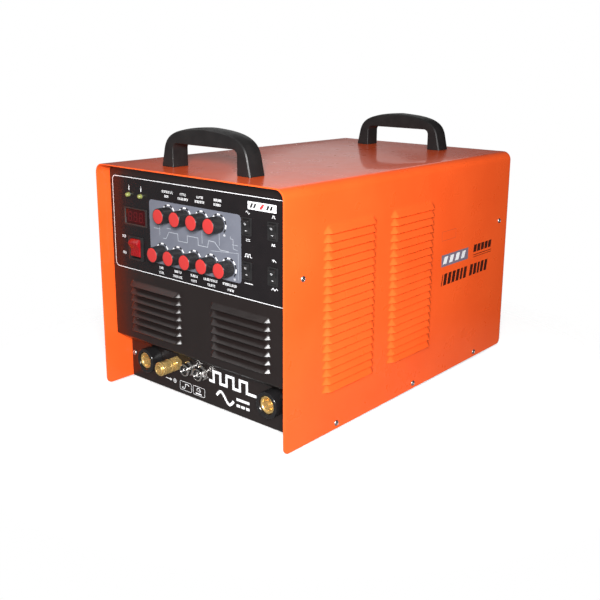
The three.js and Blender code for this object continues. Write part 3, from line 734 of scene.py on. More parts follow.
def front_rows():
    """Lines up the front panel, to the top of its louvres: (height, rise, y)."""
    path = [(SOCKET_Y, BOTTOM + 0.6), (SOCKET_Y, KNEE_BOTTOM), (PANEL_Y, KNEE_TOP), (PANEL_Y, PANEL_TOP)]
    bends = fillet(path, 3, 5, closed=False)
    rows = [(z, None, SOCKET_Y) for z in (BOTTOM + 0.6, BOTTOM + 28)]
    rows += [(p.y, None, p.x) for p in bends[1:-1]]
    return rows + [(z, rise, PANEL_Y) for z, rise in louvre_rows(FRONT_LOUVRES)]


def front_point(row, x):
    """A point of the panel. Its sides curl back, and beyond PANEL_HALF a column lies on the flange."""
    z, rise, y = row
    curl, reach = PANEL["curl"], PANEL["reach"]
    pull = corner_pull(PANEL_TOP - z, PANEL["corner"])
    back = 0.0
    far = abs(x)
    if far > PANEL_HALF:
        back = curl + far - PANEL_HALF
        far = PANEL_HALF - pull
    elif far > PANEL_HALF - curl:
        angle = (far - PANEL_HALF + curl) / curl * math.pi / 2
        far = PANEL_HALF - pull - curl + curl * math.sin(angle)
        back = curl * (1 - math.cos(angle))
    elif far > PANEL_HALF - reach:
        far -= pull * (far - PANEL_HALF + reach) / reach
    out = louvre_height(FRONT_LOUVRES, x, rise)
    return Vector((math.copysign(far, x), y - out + back, z))


def panel_openings():
    """Cut-outs behind the switches and the display: (x0, x1, z0, z1)."""
    sizes = {f"{name}_switch_frame": SWITCHES[kind]["opening"] for name, kind in SWITCH_KINDS.items()}
    sizes["display_bezel"] = DISPLAY["opening"]
    made = []
    for node, (width, height) in sizes.items():
        middle = centre_mm(node)
        made.append((middle.x - width / 2, middle.x + width / 2,
                     middle.z - height / 2, middle.z + height / 2))
    return made


def build_front_panel():
    openings = panel_openings()
    upper = between(BOTTOM + 156, PANEL_TOP - PANEL["corner"], 6)
    upper += [PANEL_TOP - PANEL["corner"] * (1 - math.sin(a)) for a in quarter(6)]
    upper += [z for opening in openings for z in opening[2:]]
    rows = front_rows() + [(z, None, PANEL_Y) for z in sorted_lines(upper)]
    edge = between(PANEL_HALF - PANEL["curl"], PANEL_HALF, 4) + [PANEL_HALF + 6, PANEL_HALF - 14]
    columns = louvre_columns(FRONT_LOUVRES) + edge + [-x for x in edge] + [0]
    columns += [x for opening in openings for x in opening[:2]]

    def inside(low, high, left, right):
        x, z = (left + right) / 2, (low[0] + high[0]) / 2
        return any(x0 < x < x1 and z0 < z < z1 for x0, x1, z0, z1 in openings)

    build("front_sheet", lattice(rows, sorted_lines(columns), front_point, inside), "black_paint",
          replaces=["front_panel"], solidify=PANEL["sheet"], edge_bevel=0.25,
          bevel_where=lambda p: p.z > PANEL_TOP - 1 or p.z < BOTTOM + 2)


# ---------------------------------------------------------------- handles


def curve_points(controls, start, end, count):
    """Points on part of a cubic Bezier curve."""
    made = []
    for t in between(start, end, count):
        weights = ((1 - t) ** 3, 3 * t * (1 - t) ** 2, 3 * t * t * (1 - t), t ** 3)
        made.append(sum((Vector(p) * w for p, w in zip(controls, weights)), Vector((0, 0))))
    return made


def handle_outline():
    """Pairs of (inner, outer) points in the handle's plane, from the right foot over to the left one."""
    foot, gap, rise, top = HANDLE["foot"], HANDLE["gap"], HANDLE["rise"], HANDLE["height"]
    corner = HANDLE["corner"]
    inner = [Vector((gap, z)) for z in between(0, rise - corner, 8)]
    inner += arc(corner, 0, 90, 9, gap - corner, rise - corner)[1:]
    inner += [Vector((x, rise)) for x in between(gap - corner, 0, 11)][1:]
    shoulder = ((foot - 5, 22), (foot - 10, top - 10), (foot - 26, top - 2.4), (0, top))
    outer = [Vector((foot, 0)).lerp(Vector(shoulder[0]), t) for t in between(0, 1, 8)]
    outer += curve_points(shoulder, 0, 0.42, 9)[1:]
    outer += curve_points(shoulder, 0.42, 1, 11)[1:]
    half = list(zip(inner, outer))
    mirror = [(Vector((-a.x, a.y)), Vector((-b.x, b.y))) for a, b in reversed(half[:-1])]
    return half + mirror


def handle_shape():
    """A grip with a flat front and rear, narrow flats along its outer edges and a crowned back."""
    depth, flat = HANDLE["depth"], HANDLE["edge"]
    rings = []
    for inner, outer in handle_outline():
        across = outer - inner
        thick = across.length
        edge = thick - HANDLE["crown"]
        corners = [(0, 0), (edge - flat, 0), (edge + 0.2, flat), (thick, depth / 2),
                   (edge + 0.2, depth - flat), (edge - flat, depth), (0, depth)]
        ring = []
        for p in fillet(corners, [1.6, 0.5, 0.5, 40, 0.5, 0.5, 1.6], 5):
            spot = inner + across / thick * p.x
            ring.append(Vector((spot.x, p.y - depth / 2, spot.y)))
        rings.append(ring)
    return Shape().loft(rings)


def build_handles():
    grip = handle_shape()
    for name, node in (("handle_front", "front_handle"), ("handle_back", "rear_handle")):
        place = Matrix.Translation((0, centre_mm(node).y, TOP + GAP))
        build(name, grip, "handle_plastic", place, [node], smooth=40)


# ---------------------------------------------------------------- screws


def pan_head(radius=3.6, height=2.2):
    """A domed head with a cross recess."""
    rim = 0.5
    profile = [(0, -0.6), (radius - 0.7, -0.6), (radius - 0.2, 0), (radius, rim)]
    profile += dome(radius, rim, height - rim, 14)
    shape = lathe(profile + [(0, height)], 80)
    arm, reach, deep = 0.42, radius * 0.58, 1.1
    for p in shape.points:
        far = math.hypot(p.x, p.y)
        off_arm = min(abs(p.x), abs(p.y))
        if p.z > 0.6 and far < reach and off_arm < arm:
            p.z -= deep * min((arm - off_arm) / 0.16, (reach - far) / 0.3, 1.0)
    return shape


def build_screws():
    """The cover's screws on both sides, the rear panel's and the socket panel's."""
    places = []
    for y, z in SIDE_SCREWS:
        places.append(on_right(FRONT + y, BOTTOM + z, COVER["half"]))
        places.append(on_left(FRONT + y, BOTTOM + z, -COVER["half"]))
    places += [on_rear(x, BOTTOM + z, REAR_Y) for x, z in REAR_SCREWS]
    places += [on_front(x, BOTTOM + 34, SOCKET_Y) for x in (6.5 - PANEL_HALF, PANEL_HALF - 6.5)]
    head = pan_head()
    for i, place in enumerate(places):
        turn = place @ Matrix.Rotation(math.radians(25 + 47 * i), 4, "Z")
        build(f"cover_screw_{i + 1}", head, "zinc_steel", turn, smooth=45)


# ---------------------------------------------------------------- the control panel


def build_overlay():
    middle = (OVERLAY_LOW + OVERLAY_HIGH) / 2
    size = OVERLAY_HIGH - OVERLAY_LOW
    openings = []
    for x0, x1, z0, z1 in panel_openings():
        x, z = (x0 + x1) / 2 - middle.x, (z0 + z1) / 2 - middle.z
        openings.append(rectangle(x1 - x0, z1 - z0, 0.5, 2, x, z))
    build("control_sheet", plate(rectangle(size.x, size.z, 6, 8), openings, 0, size.y), "printed_sheet",
          on_front(middle.x, middle.z, OVERLAY_HIGH.y), ["control_overlay"])


class Print:
    """Flat marks of one colour, joined into one piece. They are drawn along the face's own right and up."""

    def __init__(self, thickness=0.05, base=0.0):
        self.shape = Shape()
        self.low = base - 0.02
        self.high = base + thickness

    def area(self, outline, *holes):
        self.shape.join(plate([Vector(p) for p in outline], [list(h) for h in holes], self.low, self.high))
        return self

    def line(self, points, width, closed=False):
        return self.area(*stroke(points, width, closed))

    def bar(self, x0, x1, z0, z1, radius=0.0):
        return self.area(rectangle(x1 - x0, z1 - z0, radius, 2, (x0 + x1) / 2, (z0 + z1) / 2))

    def bars(self, *bars):
        for bar in bars:
            self.bar(*bar)
        return self

    def slanted(self, x0, x1, z0, z1, lean):
        """A bar whose upper edge is moved to the right."""
        return self.area([(x0, z0), (x1, z0), (x1 + lean, z1), (x0 + lean, z1)])

    def ring(self, x, z, outer, inner, segments=32):
        return self.area(circle(outer, segments, x, z), circle(inner, segments, x, z))

    def make(self, name, material, place, slot="printed_sheet"):
        return build(name, self.shape, material, place, weld=False)


def square_wave(edges, low, high):
    """A line that starts low and changes its level at every edge between the first and the last."""
    made = []
    for k, (start, end) in enumerate(zip(edges, edges[1:])):
        z = high if k % 2 else low
        made += [(start, z), (end, z)]
    return made


def sine_wave(x, z, length, rise, steps):
    return [(x + length * t, z + rise * math.sin(2 * math.pi * t)) for t in between(0, 1, steps)]


def caption(marks, x, z, width, height, seed):
    """A line of small upright blocks where the real panel has a word."""
    draw = random.Random(seed)
    here = x - width / 2
    end = x + width / 2
    while here < end - 0.7:
        wide = min(draw.uniform(1.1, 1.7), end - here)
        low = z - height / 2
        kind = draw.randrange(4)
        marks.bar(here, here + 0.45, low, low + height)
        if kind != 0:
            marks.bar(here + 0.4, here + wide, low + height - 0.5, low + height)
        if kind != 1:
            marks.bar(here + 0.4, here + wide, low, low + 0.5)
        if kind >= 2:
            marks.bar(here + wide - 0.4, here + wide, low + 0.4, low + height - 0.4)
        here += wide + 0.5


def dial_prints():
    """One scale ring: 11 marks, white and black by turns, and 0 and 10 at its ends."""
    white, black = Print(base=PRINT_RISE), Print(base=PRINT_RISE)
    step = DIAL["sweep"] / DIAL["marks"]
    for i in range(DIAL["marks"]):
        start = 90 + DIAL["sweep"] / 2 - step * i
        outer = arc(DIAL["outer"], start, start - step, 5)
        inner = arc(DIAL["inner"], start - step, start, 5)
        (white if i % 2 else black).area(outer + inner)
    white.line(rectangle(1.1, 1.9, 0.4, 3, -9.4, -11.6), 0.4, closed=True)
    white.bar(7.9, 8.35, -12.7, -10.5)
    white.line(rectangle(1.1, 1.9, 0.4, 3, 9.7, -11.6), 0.4, closed=True)
    return white, black


def build_dials():
    """The scale ring, the body, the red cap and the pointer of each knob."""
    white, black = dial_prints()
    grip, cap, pointer = knob_shape(), knob_cap(), knob_pointer()
    for name in DIALS:
        scale_place = in_front_of(f"{name}_cap", OVERLAY_Y)
        # At rest the pointer is at the low end of the scale.
        place = in_front_of(f"{name}_cap", PANEL_Y) @ Matrix.Rotation(math.radians(-135), 4, "Z")
        body = f"{name}_dial"
        white.make(f"{name}_scale_white", "white_print", scale_place)
        black.make(f"{name}_scale_black", "black_print", scale_place)
        build(f"{name}_grip", grip, "black_plastic", place, [f"{name}_knob"], body, smooth=40)
        build(f"{name}_face", cap, "red_plastic", place, [f"{name}_cap"], body, smooth=40)
        build(f"{name}_pointer", pointer, "white_print", place, body=body)


def knob_shape():
    """A slightly tapered body with fine flutes, and a pocket in front for the cap."""
    base, tip, front, cap = KNOB["radius"], KNOB["tip"], KNOB["height"], KNOB["cap"]
    low, high = 2.6, front - 1.3

    def fluted(angle, radius, height):
        if radius < tip - 0.25 or not low < height < high:
            return radius
        fade = min((height - low) / 0.6, (high - height) / 0.6, 1.0)
        return radius - 0.34 * fade * (0.5 - 0.5 * math.cos(angle * KNOB["flutes"])) ** 1.5

    profile = [(0, 1.4), (3, 1.4), (3, 1.2), (base - 0.3, 1.2), (base, 1.6), (base, 2.5), (base - 0.02, 3.2)]
    profile += list(zip(between(base, tip, 5), between(3.2, front - 1.9, 5)))[1:]
    profile += [(tip, front - 1.2), (tip, front - 0.5), (tip - 0.12, front - 0.18), (tip - 0.4, front),
                (cap + 0.2, front), (cap + 0.1, front - 0.2), (cap + 0.1, front - 1.2), (0, front - 1.2)]
    return lathe(profile, KNOB["flutes"] * 6, fluted)


def knob_cap():
    front, cap = KNOB["height"], KNOB["cap"]
    profile = [(0, front - 1), (cap, front - 1), (cap, front + 0.15), (cap - 1.2, front + 0.32),
               (0, front + 0.42)]
    return turned(profile, [0, 0.1, 0.25, 3, 0], 72, 4)


def knob_pointer():
    """A white rib along the side that points to the scale."""
    rib = slab(rectangle(KNOB["height"] - 4.4, 0.9, 0.3, 3), -0.5, 0.22, 0.15)
    lie = Matrix.Translation((KNOB["tip"] + 0.05, 0, KNOB["height"] / 2 + 0.4))
    return Shape().join(rib, lie @ Matrix.Rotation(math.radians(90), 4, "Y"))


def switch_bezel(spec):
    """A frame with its housing behind it, as one solid open to the front."""
    width, height, rise = spec["size"]
    outer = rectangle(width, height, 1.0, 4)
    inner = rectangle(*spec["cavity"], 0.5, 4)
    back = rectangle(*spec["housing"], 0.5, 4)
    bevel = 0.35
    rings = [level(back, -8), level(back, 0), level(outer, 0), level(outer, rise - bevel)]
    rings += [level(inset(outer, bevel * 0.3), rise - bevel * 0.3), level(inset(outer, bevel), rise)]
    rings += [level(inset(inner, -bevel * 1.2), rise), level(inset(inner, -bevel * 0.3), rise - bevel * 0.3),
              level(inner, rise - bevel), level(inner, rise - 7)]
    return Shape().loft(rings)


def rocker_shape(rocker):
    """A rocker whose face is a shallow V, and whose axis is local X."""
    tip, side, back = rocker["tip"], rocker["side"], rocker["back"]
    outline = [(-side, 0), (-back[1], -back[0]), (back[1], -back[0]), (side, 0),
               (tip[1], tip[0]), (0, rocker["middle"]), (-tip[1], tip[0])]
    radii = [0.6, 0.5, 0.5, 0.6, rocker["nose"], rocker["valley"], rocker["nose"]]
    half, edge = rocker["width"] / 2, rocker["edge"]
    solid = slab(fillet(outline, radii, 5), -half, half, edge, 4, edge)
    turn = Matrix(((0, 0, 1, 0), (1, 0, 0, 0), (0, 1, 0, 0), (0, 0, 0, 1)))
    return Shape().join(solid, turn)


def rocker_marks(rocker):
    """A ring on one half and a bar on the other, as printed on rocker switches."""
    shape = Shape()
    (rise, reach), middle, size = rocker["tip"], rocker["middle"], rocker["mark"]
    slope = math.atan2(rise - middle, reach)
    ring = Print().line(circle(size * 0.62, 24), size * 0.28, closed=True)
    bar = Print().bar(-size * 0.7, size * 0.7, -size * 0.16, size * 0.16)
    for side, mark in ((1, ring), (-1, bar)):
        spot = Matrix.Translation((0, side * reach * 0.52, middle + (rise - middle) * 0.52))
        shape.join(mark.shape, spot @ Matrix.Rotation(side * slope, 4, "X"))
    return shape


def build_switches():
    shapes = {}
    for kind, spec in SWITCHES.items():
        marks = rocker_marks(spec["rocker"]) if "mark" in spec["rocker"] else None
        shapes[kind] = (switch_bezel(spec), rocker_shape(spec["rocker"]), marks)
    for name, kind in SWITCH_KINDS.items():
        spec = SWITCHES[kind]
        bezel, paddle, marks = shapes[kind]
        node, body, colour = f"{name}_switch_frame", f"{name}_switch", spec["colour"]
        face = in_front_of(node, PANEL_Y - GAP)
        pivot = face @ Matrix.Translation((0, 0, spec["size"][2] - spec["pivot"]))
        tilted = pivot @ Matrix.Rotation(math.radians(spec["swing"]), 4, "X")
        build(f"{name}_bezel", bezel, "black_plastic", face, [node])
        build(f"{name}_paddle", paddle, colour, tilted, [f"{name}_rocker"], body, smooth=40)
        if marks:
            build(f"{name}_marks", marks, "white_print", tilted, body=body, weld=False)


def digit(marks, x, z, width, height, slant=0.08):
    """The seven segments of one digit, all lit, as the display shows at a lamp test."""
    thick = 1.0
    w, h = width / 2, height / 2

    def segment(a, b):
        a, b = Vector(a), Vector(b)
        along = (b - a).normalized()
        side = Vector((-along.y, along.x)) * thick / 2
        a, b = a + along * 0.18, b - along * 0.18
        nose = along * thick / 2
        loop = [a, a + nose - side, b - nose - side, b, b - nose + side, a + nose + side]
        marks.area([Vector((x + p.x + p.y * slant, z + p.y)) for p in loop])

    for level_z in (-h, 0, h):
        segment((-w, level_z), (w, level_z))
    for side_x in (-w, w):
        segment((side_x, -h), (side_x, 0))
        segment((side_x, 0), (side_x, h))


def build_display():
    low, high = box_mm("display_window")
    place = in_front_of("display_bezel", PANEL_Y - GAP)
    outer = rectangle(*DISPLAY["frame"], 0.8, 4)
    glass = [size + more for size, more in zip((high.x - low.x, high.z - low.z), DISPLAY["glass_margin"])]
    inner = rectangle(glass[0] + 0.6, glass[1] + 0.6, 0.5, 4)
    rings = [level(inner, -3), level(outer, -0.01), level(outer, 1.4), level(inset(outer, 0.2), 1.85),
             level(inset(outer, 0.7), 2), level(inset(inner, -0.9), 2), level(inset(inner, -0.3), 1.6),
             level(inner, 1.0)]
    surround = Shape().loft(rings + rings[:1], cap_start=False, cap_end=False)
    build("display_surround", surround, "display_frame", place, ["display_bezel"])
    face = 1.2
    window = slab(rectangle(*glass, 0.4, 3), -4, face, 0.25)
    build("display_glass", window, "display_lens", place, ["display_window"])
    marks = Print(0.04, face)
    for i in (-1, 0, 1):
        digit(marks, i * DISPLAY["pitch"], 0, *DISPLAY["digit"])
        marks.area(circle(0.6, 16, i * DISPLAY["pitch"] + 4.6, -5.5))
    marks.make("display_digits", "segment", place, "display_lens")


def build_lamps():
    """Two domed indicator lamps, each in a black ring."""
    radius, wall, out = LAMP["radius"], LAMP["wall"], LAMP["out"]
    profile = [(0, -3), (radius, -3), (radius, wall)] + dome(radius, wall, out - wall, 10) + [(0, out)]
    bulb = lathe(profile, 48)
    collar = turned([(radius, 0), (4.0, 0), (3.9, 0.7), (3.4, 1.2), (radius, 1.2), (radius, 0)],
                    [0, 0.1, 0.3, 0.4, 0.2, 0], 48)
    for node in ("power_lamp", "warning_lamp"):
        place = in_front_of(node, PANEL_Y - GAP)
        build(f"{node}_lens", bulb, "lamp_lens", place, [node], smooth=50)
        build(f"{node}_ring", collar, "black_plastic", place, smooth=40)


def build_panel_signs():
    """The border, the captions and the signs of the control panel, and the grey plate behind its knobs."""
    place = on_front(0, BOTTOM, OVERLAY_Y)
    white = Print()
    white.line(rectangle(302, 118, 6, 8, 0, 221), 0.8, closed=True)
    for x in (-118, -94.5):
        white.area([(x - 0.7, 264), (x + 0.7, 264), (x + 0.25, 267.2), (x + 1.0, 267.4), (x - 0.5, 271.8),
                    (x - 0.1, 268.4), (x - 0.9, 268.2)])
    for z, seed in ((203.2, 3), (181.8, 4)):
        caption(white, -132, z, 7.5, 3.4, seed)
    for seed, (x, z, width) in enumerate(PANEL_CAPTIONS, 11):
        caption(white, x, z, width, 2.9, seed)
    # The signs at the ends of the switches: alternating and direct current, pulses and a slope.
    white.line(sine_wave(87, 261.1, 6, 1.5, 12), 0.65)
    white.bars((86.8, 93.4, 230.6, 231.2), (86.8, 88.6, 228.8, 229.4), (89.3, 91, 228.8, 229.4),
               (91.7, 93.4, 228.8, 229.4))
    white.line(square_wave([126, 127.6, 129.6, 131.4], 259.6, 262.2), 0.65)
    white.line(square_wave([125.2, 126.4, 127.6, 129, 130.2, 131.4], 229, 231), 0.6)
    white.line(square_wave([84.4, 86.2, 88.6, 91, 93.4, 96], 210.8, 214.2), 0.7)
    white.bar(84, 96.6, 179.9, 180.7)
    white.line([(126, 214), (128.6, 211.6), (128.6, 214), (132.4, 211.4)], 0.7)
    white.line([(125, 179.4), (127.6, 182), (130.2, 179.4), (132.8, 182), (134.6, 180.2)], 0.7)
    white.make("panel_print_white", "white_print", place)

    grey = Print().area(rectangle(158.7, 79, 5, 7, -0.15, 217.5))
    grey.make("panel_plate", "grey_print", place)


def build_panel_lines():
    """The welding current's course over time, which links the knobs, and lines that lead to them."""
    place = on_front(0, BOTTOM, OVERLAY_Y)
    fine = Print(0.04, PRINT_RISE)
    fine.line([(-54.8, 211.5), (-49.5, 211.5), (-43.9, 220.4), (-27.9, 220.4), (-27.2, 212), (-10.9, 212),
               (-10.6, 220.6), (8, 220.6), (8.3, 212), (24.3, 212), (26.1, 220.1), (36.1, 220.1),
               (45.2, 212), (59.5, 212)], 0.55)
    fine.line([(29.5, 208.8), (68.5, 211.9), (74.5, 212.5), (74, 181)], 0.35)
    fine.line([(61.9, 230.4), (62.4, 227.6), (66.4, 227.5), (66.6, 216.7), (73.6, 215.3)], 0.4)
    fine.bars((64.7, 74.2, 221, 221.4), (14.8, 15.2, 215, 230), (43.8, 44.2, 217, 231),
              (-61, -60.7, 214, 231), (-72, -61, 222, 222.4), (-48, -40, 224.6, 225))
    fine.make("panel_print_fine", "line_print", place)


def build_panel_badge():
    """A plain badge with slanted bars."""
    place = on_front(0, BOTTOM, OVERLAY_Y)
    badge = Print().bar(90, 132.8, 265.2, 274.1, 0.6)
    badge.make("panel_badge", "white_print", place)
    red = Print(0.03, PRINT_RISE).slanted(107, 111, 266.6, 272.8, 4.8)
    red.make("panel_badge_mark", "red_print", place)
    dark = Print(0.03, PRINT_RISE)
    for x in (93, 98, 117.6, 122.6):
        dark.slanted(x, x + 3, 267.2, 272.2, 2.4)
    dark.make("panel_badge_bars", "black_print", place)


# ---------------------------------------------------------------- the socket panel


def within_hexagon(flats, low=-math.inf, high=math.inf, turn=30):
    """Cuts a lathe solid to a hexagon between two heights. Turn 30 points a corner up."""
    def radius_at(angle, radius, height):
        if not low < height < high:
            return radius
        within = (math.degrees(angle) - turn) % 60 - 30
        return min(radius, flats / 2 / math.cos(math.radians(within)))
    return radius_at


def build_output_sockets():
    """Twist-lock sockets: a smooth black collar round a hexagonal brass insert."""
    hole = 11.3
    profile = [(hole, -8.8), (13.6, -8.8), (13.6, 0), (16.5, 0), (16.5, 12), (16.2, 17), (hole + 0.9, 17),
               (hole, 16.1), (hole, -8.8)]
    collar = turned(profile, [0, 0.3, 0.2, 0.3, 4, 1.1, 0.4, 0.4, 0], 96, 4)
    outside = within_hexagon(20.6)

    def keyed(angle, radius, height):
        """A keyway up the side of the bore, below its rim, and a hexagon outside."""
        if radius >= 8.2:
            return outside(angle, radius, height)
        side = abs((math.degrees(angle) - 90 + 180) % 360 - 180)
        return radius + 1.7 if side < 13 and height < 13.9 else radius

    profile = [(0, -12), (11.2, -12), (11.2, 14.2), (10.4, 14.8), (9.0, 14.8), (8.1, 13.9), (7.5, 12.6),
               (7.5, 3), (7.3, 1.6), (0, 1.6)]
    insert = turned(profile, [0, 0.3, 0.5, 0.3, 0.3, 0.3, 0.3, 0.5, 0.3, 0], 120, 3, keyed)
    for name in ("negative", "positive"):
        place = in_front_of(f"{name}_socket_body", SOCKET_Y - GAP)
        build(f"{name}_collar", collar, "socket_plastic", place, [f"{name}_socket_body"],
              smooth=40)
        build(f"{name}_insert", insert, "brass", place, [f"{name}_socket_contact"], smooth=40)


def build_coupler():
    """The gas outlet: a brass quick coupler with a sliding collar."""
    place = in_front_of("gas_coupler_body", SOCKET_Y - GAP)
    out = 32
    profile = [(0, -10), (4.9, -10), (4.9, 0), (9.8, 0), (9.8, 6.6), (8.6, 8), (5.8, 8.2), (5.8, 10.5),
               (6.9, 11.2), (6.9, out - 1), (6.4, out), (5.2, out), (4.7, out - 0.5), (4.7, out - 9),
               (2, out - 10), (2, 4), (0, 4)]
    radii = [0, 0.2, 0.3, 0.4, 1.2, 0.5, 0.3, 0.3, 0.3, 0.4, 0.3, 0.3, 0.3, 0.4, 0.3, 0.3, 0]
    body = turned(profile, radii, 96, 3, within_hexagon(17, -0.5, 8.1))
    build("coupler_body", body, "brass", place, ["gas_coupler_body"], smooth=36)

    bore, wide = 7.1, 9.0
    profile = [(bore, 12.3), (wide - 0.7, 12.3), (wide, 13.0), (wide, 15.2), (wide - 0.9, 15.5),
               (wide - 0.9, 16.3), (wide, 16.6), (wide, 25.2), (wide - 1.0, 25.5), (wide - 1.0, 26.5),
               (wide, 26.8), (wide, 29.2), (wide - 0.8, 30), (bore + 0.3, 30), (bore, 29.7), (bore, 12.3)]
    radii = [0, 0.2, 0.3, 0.15, 0.1, 0.1, 0.15, 0.15, 0.1, 0.1, 0.15, 0.4, 0.3, 0.1, 0.1, 0]
    sleeve = turned(profile, radii, 144, 3, within_hexagon(16.6, 16.4, 25.4, 12))
    build("coupler_sleeve", sleeve, "brass", place, ["gas_coupler_sleeve"], "coupler_collar", smooth=36)


def thread_profile(radius, low, high, pitch=1.0, depth=0.45):
    """Points up a threaded side."""
    made = []
    height = low
    while height + pitch <= high:
        made += [(radius - depth, height + pitch * 0.1), (radius, height + pitch * 0.45),
                 (radius, height + pitch * 0.6), (radius - depth, height + pitch * 0.95)]
        height += pitch
    return made


def build_signal_sockets():
    """Round panel sockets with screw-thread shells: two pins and three pins."""
    out, wide, bore, floor = 12, 8.0, 6.3, 5.4
    profile = [(0, -7.8), (7.6, -7.8), (7.6, 0), (10, 0), (10, 1.2), (9.4, 2.4), (7.8, 2.6)]
    profile += thread_profile(wide, 2.7, 5.9)
    profile += fillet([(wide - 0.3, 6.0), (wide + 0.4, 6.3), (wide + 0.4, out - 0.2), (bore, out),
                       (bore, floor)], [0, 0.3, 1.9, 0.5, 0], 6, closed=False)
    key = slab(rectangle(1.8, 1.5, 0.3, 2, 0, bore - 0.5), 5, out - 0.7, 0.2)
    shell = lathe(profile + [(0, floor)], 96, within_hexagon(18.6, -0.5, 2.5)).join(key)
    core = turned([(0, 5.0), (6.2, 5.0), (6.2, 8.6), (0, 8.6)], [0, 0.1, 0.35, 0], 64)
    pin = turned([(0, 5), (1.0, 5), (1.0, 9.9), (0.5, 10.4), (0, 10.5)], [0, 0.1, 0.3, 0.3, 0], 24)
    for node, angles in (("torch_trigger_socket", (0, 180)), ("remote_control_socket", (150, 270, 390))):
        place = in_front_of(node, SOCKET_Y - GAP)
        pins = Shape()
        for angle in angles:
            pins.join(pin, Matrix.Rotation(math.radians(angle), 4, "Z") @ Matrix.Translation((3.1, 0, 0)))
        build(f"{node}_shell", shell, "nickel", place, [node], smooth=36, weld=False)
        build(f"{node}_core", core, "black_plastic", place)
        build(f"{node}_pins", pins, "nickel", place)


def build_socket_prints():
    place = on_front(0, BOTTOM, SOCKET_Y)
    bold = Print(0.06)
    thick = 3.6
    bold.line(square_wave([-4.3, 4, 16, 27, 39, 50, 62, 78], 33, 46.5), thick)
    bold.line(sine_wave(9, 16.4, 30, 6.6, 28), thick)
    bold.bars((44, 66, 19, 22.4), (44, 50, 11, 14.4), (52, 58, 11, 14.4), (60, 66, 11, 14.4))
    bold.make("socket_print_bold", "white_print", place, "black_paint")

    # Signs for the gas outlet, the torch's trigger and the remote control.
    small = Print(0.06)
    small.line([(-88.4, 14.5), (-79, 14.5)], 1.0)
    small.area([(-79.5, 12.4), (-75.5, 14.5), (-79.5, 16.6)])
    small.ring(-70, 14.5, 2.9, 2.1).ring(-70, 14.5, 1.1, 0.5, 16)
    for x in (-49.1, -23.9):
        small.line(rectangle(21.8, 12, 2, 5, x, 12), 0.5, closed=True)
    small.line([(-56.5, 8.6), (-51.5, 8.6), (-49.5, 12), (-49.5, 15.2), (-44.6, 15.2), (-42.8, 13.6)], 0.9)
    small.line([(-56, 10.4), (-53, 10.4)], 0.6)
    small.bar(-30, -19.4, 7.6, 9.2).line(arc(3.2, -60, 200, 12, -24.6, 13), 0.8)
    small.line([(-26, 11.4), (-23, 13.4), (-20.6, 12.6)], 0.6)
    small.make("socket_print_small", "white_print", place, "black_paint")


def build_side_prints():
    """Plain bars on the right and left sides, where the real machine has its lettering."""
    half = COVER["half"]
    for name, place, sign in (("right", on_right(FRONT, BOTTOM, half), 1),
                              ("left", on_left(FRONT, BOTTOM, -half), -1)):
        def span(start, end):
            return (start, end) if sign > 0 else (-end, -start)

        dark = Print()
        start = 318.0
        for width in (5, 11, 11, 11, 11, 9, 11, None, 11, 11, 9, 11, 11):
            if width is None:
                start += 6
                continue
            a, b = span(start, start + width - 3.2)
            dark.slanted(a - 1.5, b - 1.5, 128, 144, 3)
            start += width
        a, b = span(400.6, 453.6)
        for left in between(a, b, 5)[:-1]:
            dark.slanted(left, left + 8.4, 161, 171.5, 1.6)
        dark.bars((a, b, 156.5, 157.5), (a, b, 153.6, 154.4))
        dark.make(f"side_bars_{name}", "side_black", place, "orange_paint")

        blue = Print().bar(*span(315, 386), 154.5, 171, 1.0)
        blue.make(f"side_plate_{name}", "side_blue", place, "orange_paint")
        light = Print(0.03, PRINT_RISE)
        for left in between(*span(319, 382), 4)[:-1]:
            light.slanted(left, left + 9, 158, 168, 4)
        light.make(f"side_marks_{name}", "white_print", place, "orange_paint")
        a, b = span(314, 349.6)
        thin = Print(0.03).line(rectangle(b - a, 12.5, 1, 3, (a + b) / 2, 197.2), 0.4, closed=True)
        thin.make(f"side_box_{name}", "side_red", place, "orange_paint")


# ---------------------------------------------------------------- feet, rear and the inside


def build_feet():
    top = box_mm("foot_front_left")[1].z
    profile = [(0, 2.4), (4.2, 2.4), (4.2, 0), (11.4, 0), (12.4, 0.9), (14, top), (0, top)]
    foot = turned(profile, [0, 0.4, 0.6, 0.8, 0.6, 0.3, 0], 64)
    for corner in ("front_left", "front_right", "rear_left", "rear_right"):
        middle = centre_mm(f"foot_{corner}")
        place = Matrix.Translation((middle.x, middle.y, 0))
        build(f"rubber_foot_{corner}", foot, "foot_rubber", place, [f"foot_{corner}"])


def build_rating_plate():
    """A blank plate with ruled lines, on the rear panel."""
    place = on_rear(-70, BOTTOM + 238, REAR_Y)
    label = Print(0.3).area(rectangle(92, 58, 2, 4))
    label.make("rating_plate", "plate_metal", place, "aluminium")
    lines = Print(0.03, 0.3)
    for k in range(7):
        lines.bar(-42, 42, 22 - k * 7.6, 22.4 - k * 7.6)
    for x in (-42, -8, 18, 42):
        lines.bar(x - 0.2, x + 0.2, -23.6, 22.2)
    lines.make("rating_lines", "black_print", place, "aluminium")


def build_earth_bolt():
    washer = turned([(0, 0), (6.5, 0), (6.5, 1.2), (0, 1.2)], [0, 0.2, 0.4, 0], 64)
    nut = turned([(0, 1.2), (5.9, 1.2), (5.9, 5), (5, 6), (0, 6)], [0, 0.2, 0.5, 0.4, 0], 96, 3,
                 within_hexagon(10))
    stud = lathe([(0, 5.8)] + thread_profile(3, 6, 10.4, 1.0, 0.35) + [(2.4, 10.9), (0, 10.9)], 48)
    build("earth_bolt", washer.join(nut).join(stud), "brass", on_rear(60, BOTTOM + 30, REAR_Y), smooth=36,
          weld=False)


